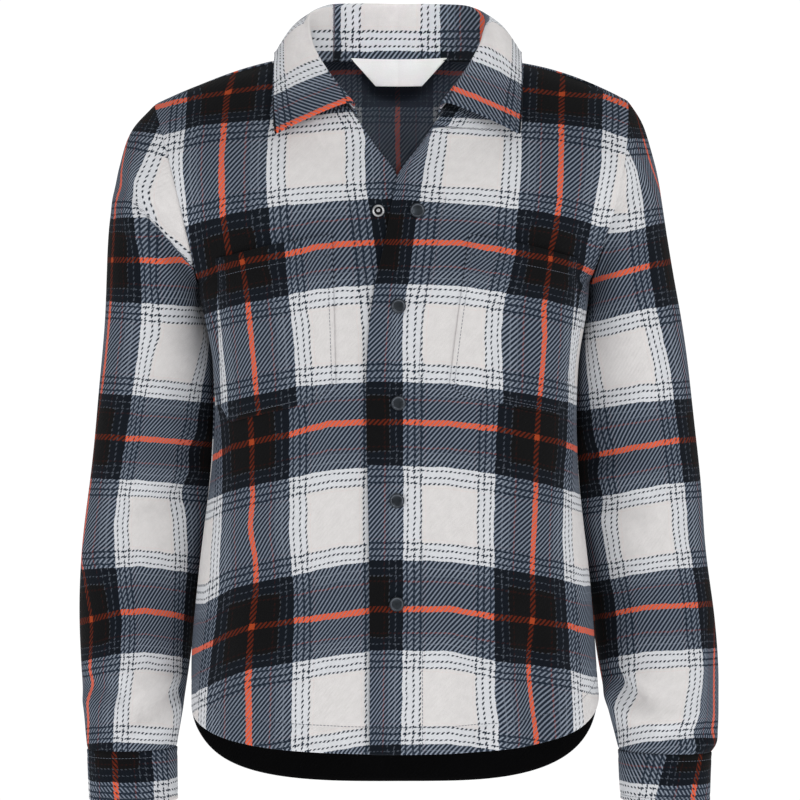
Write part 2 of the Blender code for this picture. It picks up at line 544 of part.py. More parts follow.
def add_turned(name, profile, place, direction):
    """Round metal piece, its profile of radius and height turned about the direction given."""
    mesh = bpy.data.meshes.new(name)
    edges = [(k, k + 1) for k in range(len(profile) - 1)]
    mesh.from_pydata([(radius, 0.0, height) for radius, height in profile], edges, [])
    piece = add_object(name, mesh, METAL_COLOUR, METAL_ROUGHNESS, 1.0)
    turn = Vector(direction).to_track_quat("Z", "Y").to_matrix().to_4x4()
    piece.matrix_world = Matrix.Translation(Vector(place)) @ turn
    screw = piece.modifiers.new("turn", "SCREW")
    screw.steps = screw.render_steps = SNAP_SIDES
    screw.use_merge_vertices = True
    screw.merge_threshold = 0.00001
    screw.use_smooth_shade = True


def cap_profile(scale=1.0):
    """Snap cap: dished top, rolled rim, flat underside."""
    r, h = CAP_DIAMETER / 2 * scale, CAP_HEIGHT
    return ((0.0, h - 0.0006), (r * 0.74, h - 0.0009), (r * 0.84, h), (r * 0.93, h),
            (r, 0.0018), (r, 0.0008), (r * 0.94, 0.0), (0.0, 0.0))


def stud_profile():
    """Snap stud: a ring with a knob standing in its well."""
    r, h = STUD_DIAMETER / 2, STUD_HEIGHT
    return ((0.0, h), (r * 0.22, h), (r * 0.34, h - 0.0006), (r * 0.36, 0.0009), (r * 0.60, 0.0009),
            (r * 0.66, 0.0016), (r * 0.86, 0.0018), (r, 0.0012), (r, 0.0), (0.0, 0.0))


def add_front_snap(side, name, across, height, profile):
    s, v = front_on(side, across, height)
    out = panel_normals(side, "front", s, v)
    add_turned(name, profile, panel_point(side, "front", s, v) + out * (WALL / 2 + SNAP_LIFT), out)


def add_cuff_snap(side, name, table):
    surface = sleeve_surface(side, table)
    share, turn = [np.array([value]) for value in CUFF_SNAP_AT]
    out = ring_normals(surface, share, turn)[0]
    place = surface(share, turn)[0] + out * (DOUBLE / 2 + SNAP_LIFT)
    add_turned(name, cap_profile(CUFF_SNAP_SCALE), place, out)


def add_label():
    """Plain woven label inside the back neck, bent like the collar's foot just in front of it."""
    p, q = np.meshgrid(np.linspace(0, 1, 9), np.linspace(0, 1, 4))
    corner = np.array(LABEL)
    top = corner[0] + (corner[1] - corner[0]) * p[..., None]
    low = corner[3] + (corner[2] - corner[3]) * p[..., None]
    flat = top + (low - top) * q[..., None]
    foot = collar_point(np.linspace(0.0, 0.5, 51), 0.0)
    ahead = COLLAR_WALL / 2 + LABEL_GAP + LABEL_WALL / 2
    depth = np.interp(np.abs(flat[..., 0]), foot[:, 0], foot[:, 1]) - ahead
    points = np.stack([flat[..., 0], depth, flat[..., 1]], -1)
    thick_cloth("label", points, LABEL_WALL, colour=LABEL_COLOUR, roughness=LABEL_ROUGHNESS)


for old in list(bpy.data.objects):
    bpy.data.objects.remove(old)
garment = bpy.data.collections.new("shirt_jacket")
bpy.context.scene.collection.children.link(garment)
shoulder_hold = bpy.data.objects.new("shoulder_hold", None)
shoulder_hold.empty_display_size = 0.05
garment.objects.link(shoulder_hold)

left_sleeve_seam, left_body_seam = seam_normals(LEFT, LEFT_SLEEVE)
right_sleeve_seam, right_body_seam = seam_normals(RIGHT, RIGHT_SLEEVE)
add_front(LEFT, "front_left", left_body_seam)
add_front(RIGHT, "front_right", right_body_seam)
add_back((left_body_seam, right_body_seam))
add_sleeve(LEFT, "sleeve_left", LEFT_SLEEVE, left_sleeve_seam)
add_sleeve(RIGHT, "sleeve_right", RIGHT_SLEEVE, right_sleeve_seam)
add_cuff(LEFT, "cuff_left", LEFT_CUFF)
add_cuff(RIGHT, "cuff_right", RIGHT_CUFF)
add_collar()
add_pocket(LEFT, "pocket_left", LEFT_POCKET)
add_pocket(RIGHT, "pocket_right", RIGHT_POCKET)
add_label()
for snap, across, height in SNAPS:
    add_front_snap(RIGHT, snap, across, height, cap_profile())
add_front_snap(LEFT, "snap_stud", *STUD_AT, stud_profile())
add_cuff_snap(LEFT, "cuff_snap_left", LEFT_CUFF)
add_cuff_snap(RIGHT, "cuff_snap_right", RIGHT_CUFF)
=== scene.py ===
"""Plaid shirt jacket: cloth, sewing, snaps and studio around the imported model. Metres, +Z up."""
import math

import bpy
import numpy as np
from mathutils import Matrix, Vector


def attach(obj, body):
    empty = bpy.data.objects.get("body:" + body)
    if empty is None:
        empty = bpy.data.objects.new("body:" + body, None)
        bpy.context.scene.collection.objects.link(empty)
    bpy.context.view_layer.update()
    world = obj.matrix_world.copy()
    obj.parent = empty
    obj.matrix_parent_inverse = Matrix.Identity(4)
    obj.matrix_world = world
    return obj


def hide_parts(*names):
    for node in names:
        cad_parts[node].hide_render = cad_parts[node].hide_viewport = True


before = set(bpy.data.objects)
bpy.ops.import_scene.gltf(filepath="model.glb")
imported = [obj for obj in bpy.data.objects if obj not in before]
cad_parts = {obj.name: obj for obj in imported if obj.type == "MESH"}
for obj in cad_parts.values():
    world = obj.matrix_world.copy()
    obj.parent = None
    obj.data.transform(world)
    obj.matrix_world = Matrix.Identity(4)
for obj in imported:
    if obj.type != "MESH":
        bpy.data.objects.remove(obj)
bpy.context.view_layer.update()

LEFT, RIGHT = -1, 1
WALL = 0.0018
COLLAR_WALL = 0.0024
CUFF_WALL = 0.0030
POCKET_WALL = 0.0016
LABEL_WALL = 0.0007
LABEL_GAP = 0.0006
CAP_DIAMETER = 0.0150
CAP_HEIGHT = 0.0032
STUD_DIAMETER = 0.0125
STUD_HEIGHT = 0.0036
CUFF_SNAP_SCALE = 0.86
CUFF_SNAP_AT = (0.5, 0.66)       # share of the cuff's height, share of the way round
FRONT_LAP = 0.0020       # each front moves this far from the mid surface where they overlap
LAP_FULL = 0.036         # across distance up to which the fronts are fully apart
LAP_FADE = 0.080         # distance over which they come back to the mid surface
LAP_SLOPE = 0.0020       # fall of each front's edge towards its far side
NECK_FADE = 0.16         # share of a panel's height, under the shoulder, over which the lap dies out
PIT = 0.62               # share of a panel's height at which the armhole begins
UNDERARM_CLEAR = 0.0024
TURN_HANDLE = 0.62
END_HANDLE = 0.33
COLLAR_FOLD = 0.0045
COLLAR_KNOTS = (0.0, 0.22, 0.38, 0.46, 0.54, 0.75, 1.0)

# Rows of stitches, by their distance from the edge that they follow
HEM_STITCH = 0.0265
PLACKET_STITCH = 0.0520
PLACKET_TOP = 0.80       # share of a front's height up to which its placket is stitched
COLLAR_STITCH = 0.0048
LEAF_START = 0.60        # share of the collar's width at which its stitched leaf begins
POCKET_STITCH = 0.0045
POCKET_HEM = 0.020
CUFF_STITCHES = (0.006, 0.005)   # from the cuff's upper and lower edge
METAL_LIFT = 0.0002      # snaps stand clear of the cloth
# Bake map of the cloth
MAP_EDGE = 0.012
MAP_HALF = 0.503         # the inner face lies this far above the outer one
MAP_RIM = 0.004          # width of the rim's strips

# Mesh steps: samples across and along each piece
FRONT_GRID = (100, 150, 90)      # across, hem to underarm, underarm to shoulder
BACK_GRID = (95, 130, 84)
SLEEVE_GRID = (128, 200)         # round, along
CUFF_GRID = (128, 22)
COLLAR_GRID = (250, 84)
POCKET_GRID = (52, 66)



def metres(*rows):
    """Table in metres from rows in mm. The first column is a share and stays."""
    table = np.array(rows, float)
    table[:, 1:] /= 1000
    return table


# Front edge, then the front neckline: share of height, across (minus is past the middle), depth, height
FRONT_EDGE = metres(
    (0, -27, -130, -704.5), (0.15, -27, -128.5, -600), (0.3, -28, -126.2, -490), (0.42, -30, -126, -390),
    (0.52, -30, -128, -315), (0.62, -24, -127.5, -250), (0.7, -13, -124, -200), (0.78, -4, -118, -150),
    (0.82, 1, -113.5, -127), (0.88, 24, -101, -94), (0.93, 46, -88, -61), (0.96, 66, -68, -35),
    (0.98, 80, -44, -13), (1, 88, -18, 1),
)
# Centre back, then the back neckline: share of height, across, depth, height
BACK_EDGE = metres(
    (0, 0, 125, -763), (0.15, 0, 122.5, -640), (0.3, 0, 119, -510), (0.42, 0, 117, -400),
    (0.52, 0, 118.5, -315), (0.62, 0, 121.5, -235), (0.7, 0, 122, -170), (0.78, 0, 116.5, -105),
    (0.85, 0, 103, -50), (0.9, 0, 83, -8), (0.93, 0, 68, 12), (0.955, 38, 60, 11), (0.975, 68, 38, 8.5),
    (0.99, 84, 8, 5), (1, 88, -18, 1),
)
# Side seam: share of height, across left, across right, depth, height left, height right
SIDE_SEAM = metres(
    (0, 213.2, 209.6, 12, -669, -656), (0.1, 212.5, 205, 12.5, -608, -600),
    (0.2, 207.5, 199, 13, -543, -537), (0.3, 200, 192, 13.5, -474, -470),
    (0.38, 193.5, 186.5, 14, -414, -412), (0.46, 190.5, 185.5, 15, -350, -349),
    (0.52, 192.5, 188.5, 16, -304, -303), (0.57, 198.5, 194, 17, -267, -266),
    (0.62, 206.5, 199.5, 18, -230, -229),
)
# Row shape: share of height, turn at the outer end in degrees, start handle, bend of the heights
FRONT_ROW = (
    (0, 90, 0.6, 2.7), (0.15, 90, 0.6, 2.3), (0.5, 90, 0.6, 1.8), (0.62, 90, 0.58, 1.5),
    (0.67, 66, 0.52, 1.4), (0.73, 42, 0.46, 1.35), (0.8, 30, 0.42, 1.35), (0.88, 24, 0.38, 1.45),
    (1, 8, 0.33, 1.7),
)
BACK_ROW = (
    (0, 90, 0.6, 2.6), (0.15, 90, 0.6, 2.2), (0.5, 90, 0.6, 1.8), (0.62, 90, 0.58, 1.5),
    (0.67, 66, 0.54, 1.4), (0.73, 44, 0.5, 1.4), (0.8, 30, 0.46, 1.45), (0.88, 20, 0.4, 1.55),
    (0.94, 6, 0.35, 1.65), (1, -8, 0.33, 1.7),
)
# Armhole angle reached at each share of height: 0 is the underarm, 180 the shoulder tip
FRONT_ARMHOLE = ((0.62, 0.0), (0.69, 30.0), (0.76, 58.0), (0.82, 84.0), (0.88, 108.0),
                 (0.93, 130.0), (0.96, 149.0), (0.98, 164.0), (1.00, 180.0))
BACK_ARMHOLE = ((0.62, 0.0), (0.70, 31.0), (0.77, 60.0), (0.84, 86.0), (0.89, 105.0),
                (0.93, 122.0), (0.955, 139.0), (0.975, 155.0), (0.99, 169.0), (1.00, 180.0))

# Sleeve rings from the armhole to the cuff. Outer and inner are the ends of the ring's long axis:
# share, outer across, outer depth, outer height, inner across, inner depth, inner height,
# front half depth, back half depth, front bow, back bow
LEFT_SLEEVE = metres(
    (0, 251, -8, -46, 206.5, 18, -230, 66, 62, 4, 10),
    (0.045, 273, 4, -70, 207.8, 27.5, -242, 66, 64, 3, 6),
    (0.1, 287, 13, -108, 206, 35, -254, 66, 65, 2, 3), (0.17, 297, 20, -160, 203, 41, -268, 66, 65, 1, 1),
    (0.25, 303.5, 27, -220, 198, 46, -290, 66, 65, 0, 0),
    (0.33, 309.5, 34, -280, 193, 50, -325, 65, 65, 0, 0),
    (0.43, 317, 43, -355, 188.5, 53, -375, 63, 64, 0, 0),
    (0.53, 324.5, 51, -432, 190, 61, -440, 61, 62, 0, 0),
    (0.64, 330, 51, -513, 198.5, 61, -515, 59, 60, 0, 0),
    (0.74, 332.5, 46, -582, 211.5, 51, -582, 56, 57, 0, 0),
    (0.84, 330.5, 38, -645, 222, 40, -644, 51, 52, 0, 0),
    (0.93, 327, 30, -695, 230, 30, -693, 45, 46, 0, 0),
    (1, 324, 25, -717, 232.5, 25, -715, 40.5, 40.5, 0, 0),
)
RIGHT_SLEEVE = metres(
    (0, 238, -8, -42, 199.5, 18, -229, 66, 62, -8, 6),
    (0.045, 256, 4, -66, 200.8, 27.5, -241, 66, 64, -5, 3),
    (0.1, 269, 13, -104, 199.5, 35, -253, 66, 65, -2, 1),
    (0.17, 278.5, 20, -158, 197, 41, -267, 66, 65, 0, 0),
    (0.25, 289, 27, -219, 193, 46, -289, 66, 65, 0, 0),
    (0.33, 299, 34, -279, 188.5, 50, -324, 65, 65, 0, 0),
    (0.43, 311, 43, -354, 184.5, 53, -374, 63, 64, 0, 0),
    (0.53, 319, 51, -431, 184, 60, -439, 61, 62, 0, 0),
    (0.64, 324.5, 51, -512, 192, 60, -514, 59, 60, 0, 0),
    (0.74, 332, 46, -583, 204.5, 51, -583, 56, 57, 0, 0),
    (0.84, 337.5, 38, -650, 217, 40, -648, 52, 53, 0, 0),
    (0.93, 337, 30, -705, 229, 30, -702, 46, 47, 0, 0), (1, 326.5, 25, -720, 233, 25, -718, 40, 40, 0, 0),
)
# Cuff rings, same columns
LEFT_CUFF = metres(
    (0, 324.6, 25, -717.4, 231.8, 25, -715.4, 41, 41, 0, 0),
    (0.5, 323.5, 22, -742.5, 231.5, 22, -741.5, 40.5, 40.5, 0, 0),
    (1, 322, 19, -768, 231, 19, -768, 40, 40, 0, 0),
)
RIGHT_CUFF = metres(
    (0, 327.2, 25, -720.4, 232.2, 25, -718.4, 40.5, 40.5, 0, 0),
    (0.5, 326.2, 22, -744, 233, 22, -743, 40, 40, 0, 0),
    (1, 325.5, 19, -769, 234.5, 19, -768, 39.2, 39.2, 0, 0),
)
# Collar, one half from centre back to the front end: share, then across/depth/height
# of its foot just inside the neckline, of the roll at its top, and of its free edge
COLLAR = metres(
    (0, 0, 63.5, 8.5, 0, 78, 69, 0, 98, 6), (0.2, 31, 58.2, 7.8, 45, 69.5, 69, 56, 93, 6),
    (0.4, 61.3, 38.8, 5.5, 76.5, 43, 64, 100, 62, 7), (0.55, 79.5, 7.5, 1.5, 92.5, 12, 51, 126, 18, 11),
    (0.68, 83.3, -17.2, -2.5, 93, -20, 33, 126.5, -29, 2),
    (0.8, 75.2, -42.5, -17.5, 86.5, -50, 10, 126.2, -65, -21),
    (0.91, 59.2, -68, -40.5, 70, -80, -20, 125, -94, -52),
    (1, 41.2, -83.6, -62.4, 47.5, -96.5, -50.5, 122.5, -111, -84),
)
# Pockets as seen from the front: share of width, across and height of the top edge, of the lower edge
LEFT_POCKET = metres(
    (0, 65.6, -186.3, 61.6, -337.5), (0.1, 77.8, -188.4, 72, -350), (0.88, 170, -204.2, 169, -373.5),
    (1, 183.5, -206.6, 179.5, -359),
)
RIGHT_POCKET = metres(
    (0, 71.6, -186.3, 52.6, -335.5), (0.1, 83, -188.3, 68, -347.5), (0.88, 172, -203.8, 161, -366.5),
    (1, 184.5, -206.2, 171.5, -352),
)
# Snaps on the overlapping front: across from the middle, height
SNAPS = (("snap_top", 0.0200, -0.1625), ("snap_second", 0.0010, -0.2580),
         ("snap_third", 0.0010, -0.3545), ("snap_fourth", -0.0005, -0.4520),
         ("snap_hem", -0.0005, -0.5550))
STUD_AT = (0.0190, -0.1625)      # on the left front, across and height
# Label corners, clockwise from the top left: across, height. Its scale fits the corners to the photograph.
LABEL_SCALE = (1.045, 0.93)
LABEL = ((-0.0470, 0.0105), (0.0500, 0.0105), (0.0245, -0.0200), (-0.0220, -0.0200))


def cubic(u, h, start, end, start_slope, end_slope):
    """Smooth curve between two values, u from 0 to 1 over a stretch of length h."""
    return ((2 * u ** 3 - 3 * u ** 2 + 1) * start + (u ** 3 - 2 * u ** 2 + u) * h * start_slope
            + (3 * u ** 2 - 2 * u ** 3) * end + (u ** 3 - u ** 2) * h * end_slope)


def smooth(table, column, at):
    """Value of one table column at the shares given, along a smooth curve through the rows."""
    rows = np.asarray(table, float)
    at = np.asarray(at, float)
    xs, ys = rows[:, 0], rows[:, column]
    slope = np.gradient(ys, xs)
    i = np.clip(np.searchsorted(xs, at, side="right") - 1, 0, len(xs) - 2)
    h = xs[i + 1] - xs[i]
    u = np.clip((at - xs[i]) / h, 0.0, 1.0)
    return cubic(u, h, ys[i], ys[i + 1], slope[i], slope[i + 1])


def ease(t):
    t = np.clip(t, 0.0, 1.0)
    return t * t * (3 - 2 * t)


def smooth_step(a, b, x):
    return ease((x - a) / (b - a))


def ring_point(table, share, angle):
    """Point of a sleeve or cuff ring in across, depth, height. Angle 90 is the front."""
    c = [smooth(table, k, share) for k in range(1, 11)]
    outer, inner = np.stack(c[0:3], -1), np.stack(c[3:6], -1)
    turn = np.radians(angle)
    cos, sin = np.cos(turn)[..., None], np.sin(turn)
    point = inner * (1 + cos) / 2 + outer * (1 - cos) / 2
    depth, bow = [(front + back) / 2 + (front - back) / 2 * sin for front, back in (c[6:8], c[8:10])]
    point[..., 0] -= bow * sin * sin
    point[..., 1] -= depth * sin
    return point


def outer_end(side, face, v):
    """Side seam below the armhole, armhole above it."""
    sleeve = LEFT_SLEEVE if side == LEFT else RIGHT_SLEEVE
    low = np.minimum(v, PIT)
    seam_line = np.stack([smooth(SIDE_SEAM, k, low) for k in ((1, 3, 4) if side == LEFT else (2, 3, 5))], -1)
    table = FRONT_ARMHOLE if face == "front" else BACK_ARMHOLE
    angle = smooth(table, 1, np.maximum(v, PIT))
    if face == "back":
        angle = -angle
    hole = ring_point(sleeve, np.zeros_like(v), angle)
    return np.where((v < PIT)[..., None], seam_line, hole)


def panel_point(side, face, s, v):
    """Mid surface of a front or half back. s runs to the side seam, v up to the shoulder seam."""
    s, v = np.broadcast_arrays(np.asarray(s, float), np.asarray(v, float))
    edge = FRONT_EDGE if face == "front" else BACK_EDGE
    row = FRONT_ROW if face == "front" else BACK_ROW
    facing = -1.0 if face == "front" else 1.0
    start = np.stack([smooth(edge, k, v) for k in (1, 2, 3)], -1)
    end = outer_end(side, face, v)
    turn = np.radians(smooth(row, 1, v))
    reach = end[..., 0] - start[..., 0]
    rise = np.abs(end[..., 1] - start[..., 1])
    first = smooth(row, 2, v) * reach
    last = TURN_HANDLE * rise * np.abs(np.sin(turn)) + END_HANDLE * reach * np.cos(turn)
    a1 = start[..., 0] + first
    a2 = end[..., 0] - last * np.cos(turn)
    d1 = start[..., 1]
    d2 = end[..., 1] + facing * last * np.sin(turn)
    b0, b1, b2, b3 = (1 - s) ** 3, 3 * s * (1 - s) ** 2, 3 * s * s * (1 - s), s ** 3
    across = b0 * start[..., 0] + b1 * a1 + b2 * a2 + b3 * end[..., 0]
    depth = b0 * start[..., 1] + b1 * d1 + b2 * d2 + b3 * end[..., 1]
    height = start[..., 2] + (end[..., 2] - start[..., 2]) * s ** smooth(row, 3, v)
    if face == "front":
        below_neck = ease((1.0 - v) / NECK_FADE)
        near = ease(1 - (across - LAP_FULL) / LAP_FADE)
        slope = LAP_SLOPE * np.tanh(across / LAP_FULL)
        depth = depth - (side * FRONT_LAP * near + slope) * below_neck
    return np.stack([side * across, depth, height], -1)


def collar_point(c, b):
    """Collar mid surface. c runs from the left end (-1) to the right end (1), b from seam to edge."""
    c, b = np.broadcast_arrays(np.asarray(c, float), np.asarray(b, float))
    share = np.abs(c)
    k = [smooth(COLLAR, i, share) for i in range(1, 10)]
    seam, roll, edge = (np.stack(k[i:i + 3], -1) for i in (0, 3, 6))
    out = edge - roll
    out[..., 2] = 0
    out /= np.maximum(np.linalg.norm(out, axis=-1, keepdims=True), 1e-9)
    up = np.array([0.0, 0.0, 1.0])
    tall = np.minimum(np.linalg.norm(roll - seam, axis=-1, keepdims=True) / 0.06, 1.0)
    knots = [seam,
             seam + (roll - seam) * 0.5 - out * 0.0008,
             roll - up * 0.006 * tall - out * COLLAR_FOLD * 0.75,
             roll - up * 0.001 - out * COLLAR_FOLD * 0.2,
             roll - up * 0.0035 * tall + out * COLLAR_FOLD * 0.9,
             roll + (edge - roll) * 0.45 + (out * 0.4 + up) * 0.006 * tall,
             edge]
    at = np.array(COLLAR_KNOTS)
    stack = np.stack(knots, 0)
    slope = np.gradient(stack, at, axis=0)
    i = np.clip(np.searchsorted(at, b, side="right") - 1, 0, len(at) - 2)
    h = (at[i + 1] - at[i])[..., None]
    u = ((b - at[i])[..., None] / h).clip(0, 1)
    picked = [np.take_along_axis(array, (i + step)[None, ..., None], 0)[0]
              for array in (stack, slope) for step in (0, 1)]
    point = cubic(u, h, *picked)
    point[..., 0] *= np.sign(np.where(c == 0, 1.0, c))
    return point


# The plaid, measured from its main orange yarn out, in metres. Dark bars lie round the orange yarn.
WARP_PERIOD = 0.1712
WEFT_PERIOD = 0.1820
TWILL = 0.0045           # across one twill diagonal
TWILL_SLOPE = 1.18       # its length along the warp to that across
# Yarn classes: upper end in mm, whiteness, orange, and zone, which is 0 black, 0.12 navy edge,
# 0.8 white edge and 1 white field
WARP_YARNS = ((2.6, 0, 1, 0), (19.3, 0, 0, 0), (20.7, 0, .12, 0), (24.5, 0, 0, 0), (25.7, .24, 0, 0),
              (31.0, 0, 0, .12), (32.2, .24, 0, .12), (39.0, 0, 0, .12), (42.2, 1, 0, .8), (44.1, 0, 0, .8),
              (49.1, 1, 0, .8), (51.0, 0, 0, .8), (55.5, 1, 0, .8), (57.4, 0, 0, .8), (60.2, 1, 0, 1),
              (61.0, 1, .08, 1), (85.6, 1, 0, 1))
WEFT_YARNS = ((2.6, 0, 1, 0), (23.4, 0, 0, 0), (24.8, 0, .12, 0), (28.3, 0, 0, 0), (29.5, .24, 0, 0),
              (35.0, 0, 0, .12), (36.2, .24, 0, .12), (42.5, 0, 0, .12), (45.7, 1, 0, .8), (47.6, 0, 0, .8),
              (52.6, 1, 0, .8), (54.5, 0, 0, .8), (59.0, 1, 0, .8), (60.9, 0, 0, .8), (63.7, 1, 0, 1),
              (64.5, 1, .08, 1), (91.0, 1, 0, 1))

# Camera of the photograph. Positions named "seen" are in 1/800 of the frame, from its top left corner.
CAMERA = (0.0026, -3.12, -0.3515)
SEEN_STEP = 0.00104      # metres to one such step at the depth of the origin
FLOOR_HEIGHT = -1.45
FLOOR_RADIUS = 3.0
FLOOR_SIDES = 96
SURROUND_RADIUS = 12.0


def seen(points):
    """Where points lie in the frame."""
    nearer = -CAMERA[1] / (points[..., 1] - CAMERA[1])
    return (400 + (points[..., 0] - CAMERA[0]) * nearer / SEEN_STEP,
            400 - (points[..., 2] - CAMERA[2]) * nearer / SEEN_STEP)


# Where the cloth's yarns run, as seen. Warp: main orange yarn of each piece, height then place across.
ORANGE_LEFT = ((60, 238), (77, 234), (93, 227.5), (126, 224), (160, 222), (209, 222), (249, 229),
               (422, 252), (464, 252), (499, 254), (527, 250), (562, 257), (590, 258), (626, 253.5),
               (675, 250), (705, 251), (760, 250))
ORANGE_RIGHT = ((60, 563), (90, 562), (143, 561), (193, 560), (242, 553), (284, 546), (325, 543),
                (372, 541), (430, 537), (478, 536), (520, 534), (562, 531.5), (621, 533), (667, 529),
                (690, 531), (728, 536), (760, 536))
# Weft lines of the fronts: height on the pattern in mm, then the line that it follows, across and height
WEFT_LEFT = (
    (182, ((150, 110), (190, 100), (228, 93), (260, 88), (340, 82), (400, 82))),
    (139.5, ((150, 140), (170, 134), (200, 126), (230, 123), (270, 120.5), (300, 117), (340, 113),
             (400, 112))),
    (42.5, ((190, 225), (201, 222), (230, 214), (260, 208.5), (288, 205), (316, 203), (374, 199),
            (400, 199))),
    (0, ((190, 278), (198, 276), (218, 268.5), (246, 261.5), (288, 254.5), (316, 247.5), (344, 244),
         (377, 242.6), (400, 242))),
    (-139.5, ((190, 413), (205, 409), (227, 402), (260, 394), (295, 387), (330, 384), (377, 382),
              (400, 382))),
    (-182, ((205, 461), (217, 456), (232, 447), (252, 442), (288, 435), (309, 429), (330, 423.5),
            (364, 422), (400, 422))),
    (-224.5, ((205, 502), (225, 493), (252, 486), (289, 478), (330, 470), (365, 468), (400, 467))),
    (-321.5, ((205, 604), (230, 590), (260, 582), (300, 574), (335, 566), (367, 562), (400, 562))),
    (-364, ((190, 655), (200, 649), (226, 636.5), (253, 627), (302, 620), (333, 616.6), (370, 611),
            (400, 610))),
    (-406.5, ((190, 697), (200, 690), (226, 678), (253, 669), (302, 661), (333, 656), (370, 651),
              (400, 650))),
    (-503.5, ((190, 792), (226, 773), (253, 764), (302, 756), (333, 751), (370, 745), (400, 745))),
)
WEFT_RIGHT = (
    (182, ((400, 84), (440, 84), (524, 90), (562, 94), (604, 97), (629, 108))),
    (139.5, ((400, 116), (440, 117), (470, 119), (522, 122), (560, 124), (603, 130), (625, 138))),
    (42.5, ((380, 200), (405, 200), (440, 203), (480, 205), (518, 209), (550, 213), (586, 222), (600, 227))),
    (0, ((380, 242.6), (440, 242.6), (460, 243), (500, 250), (551, 259), (580, 267), (592, 272))),
    (-42.5, ((380, 284), (440, 285), (460, 286), (500, 292), (551, 301), (580, 309), (592, 314))),
    (-139.5, ((370, 382), (400, 382), (450, 384), (480, 387), (507, 391), (540, 396), (569, 403),
              (585, 409))),
    (-182, ((365, 422), (402, 422), (450, 423.5), (499, 429), (536, 437), (562, 443), (580, 452))),
    (-224.5, ((365, 465), (403, 465.6), (450, 468), (496, 474), (530, 481), (563, 489), (580, 495))),
    (-321.5, ((365, 560), (403, 560), (450, 562), (496, 568), (530, 574), (563, 580), (582, 586))),
    (-364, ((365, 610), (449, 609), (472, 613), (500, 618), (533, 621), (568, 626), (592, 633))),
    (-406.5, ((365, 650), (449, 651), (472, 656), (500, 662), (533, 665), (568, 670), (592, 677))),
    (-503.5, ((365, 745), (449, 744), (472, 747), (500, 751), (533, 756), (568, 763), (592, 770))),
)
# Warp lines: place across the pattern in mm, then the line that it follows, height and across
WARP_LEFT = (
    (0, ORANGE_LEFT),
    (-39, ((60, 191), (165, 183), (180, 184.4), (250, 192.5), (345, 205), (425, 221), (500, 223),
           (540, 222), (600, 219), (690, 207), (760, 206))),
    (39, ((60, 276), (150, 267), (180, 266.3), (250, 272), (422, 290), (490, 289.2), (540, 289.5),
          (600, 294), (690, 292), (760, 291.5))),
    (131.6, ((60, 366), (165, 364.2), (180, 364.1), (215, 370), (250, 375), (285, 379), (330, 383),
             (510, 381), (690, 383), (760, 383))),
)
WARP_RIGHT = (
    (0, ORANGE_RIGHT),
    (-39, ((60, 523), (165, 521.1), (180, 520.3), (250, 513), (330, 503), (422, 497), (510, 493.8),
           (540, 493.5), (690, 494.4), (725, 497.7), (760, 499))),
    (-131.6, ((60, 436), (150, 428), (165, 425.7), (180, 423.5), (230, 415), (275, 410), (300, 405),
              (330, 402.2), (360, 403), (510, 404), (690, 402.8), (760, 401))),
    (-150.6, ((60, 419), (165, 408), (230, 398), (280, 392.5), (300, 390), (330, 388.5), (345, 387),
              (370, 385.6), (510, 385.5), (690, 384), (760, 383))),
    (-165, ((60, 401), (165, 399), (198, 395.5), (248, 386.5), (298, 375.5), (363, 369.5), (439, 369.5),
            (539, 371.5), (760, 372.5))),
    (39, ((60, 604), (165, 600.8), (180, 598.4), (250, 586), (330, 572.9), (360, 569.7), (510, 561.9),
          (540, 562), (620, 566), (690, 570.2), (760, 574))),
)
WARP_POCKET_LEFT = (
    (0, ((225, 238), (250, 240.5), (290, 246.5), (340, 252), (390, 256.5), (416, 259.5), (430, 261))),
    (-39, ((225, 212), (262, 214), (314, 220.5), (390, 227.5), (430, 229.5))),
    (39, ((225, 283), (262, 286), (296, 289), (330, 293), (360, 295.2), (430, 298))),
)
WARP_POCKET_RIGHT = (
    (0, ((225, 555.5), (262, 549.5), (306, 543.5), (338, 544.5), (390, 540), (416, 537.5), (430, 536))),
    (-39, ((225, 517), (254, 515.5), (285, 508), (310, 502.5), (338, 501), (384, 502.5), (430, 503))),
    (39, ((225, 588), (262, 579), (302, 573.5), (350, 569.5), (384, 567), (410, 569), (430, 571))),
)
WARP_SLEEVE_LEFT = (
    (0, ((100, 140), (160, 126), (230, 116), (293, 111), (335, 106), (393, 100), (439, 94), (557, 85),
         (622, 93.5), (663, 90.6), (730, 88.7), (760, 89))),
    (39, ((100, 168), (137, 155), (165, 143), (195, 130), (230, 138), (290, 142), (330, 140.8),
          (360, 136.9), (440, 126), (495, 117.5), (525, 114.8), (560, 116), (622, 122), (670, 120.4),
          (710, 114.4), (760, 113))),
    (131.6, ((280, 212), (330, 209), (440, 192), (495, 182), (525, 185.4), (560, 187), (622, 184),
             (670, 181), (710, 178), (760, 176))),
)
WARP_SLEEVE_RIGHT = (
    (0, ((90, 627), (121, 637.5), (150, 648), (184, 658), (240, 672), (320, 688), (440, 702), (560, 710),
         (620, 712), (666, 713), (718, 715), (760, 714))),
    (-39, ((90, 612), (150, 627), (165, 634.9), (180, 640.3), (226, 644), (290, 652), (330, 660.5),
           (360, 667.7), (440, 679), (495, 684.5), (540, 687.2), (600, 697), (670, 704), (690, 703),
           (725, 697), (760, 694))),
)
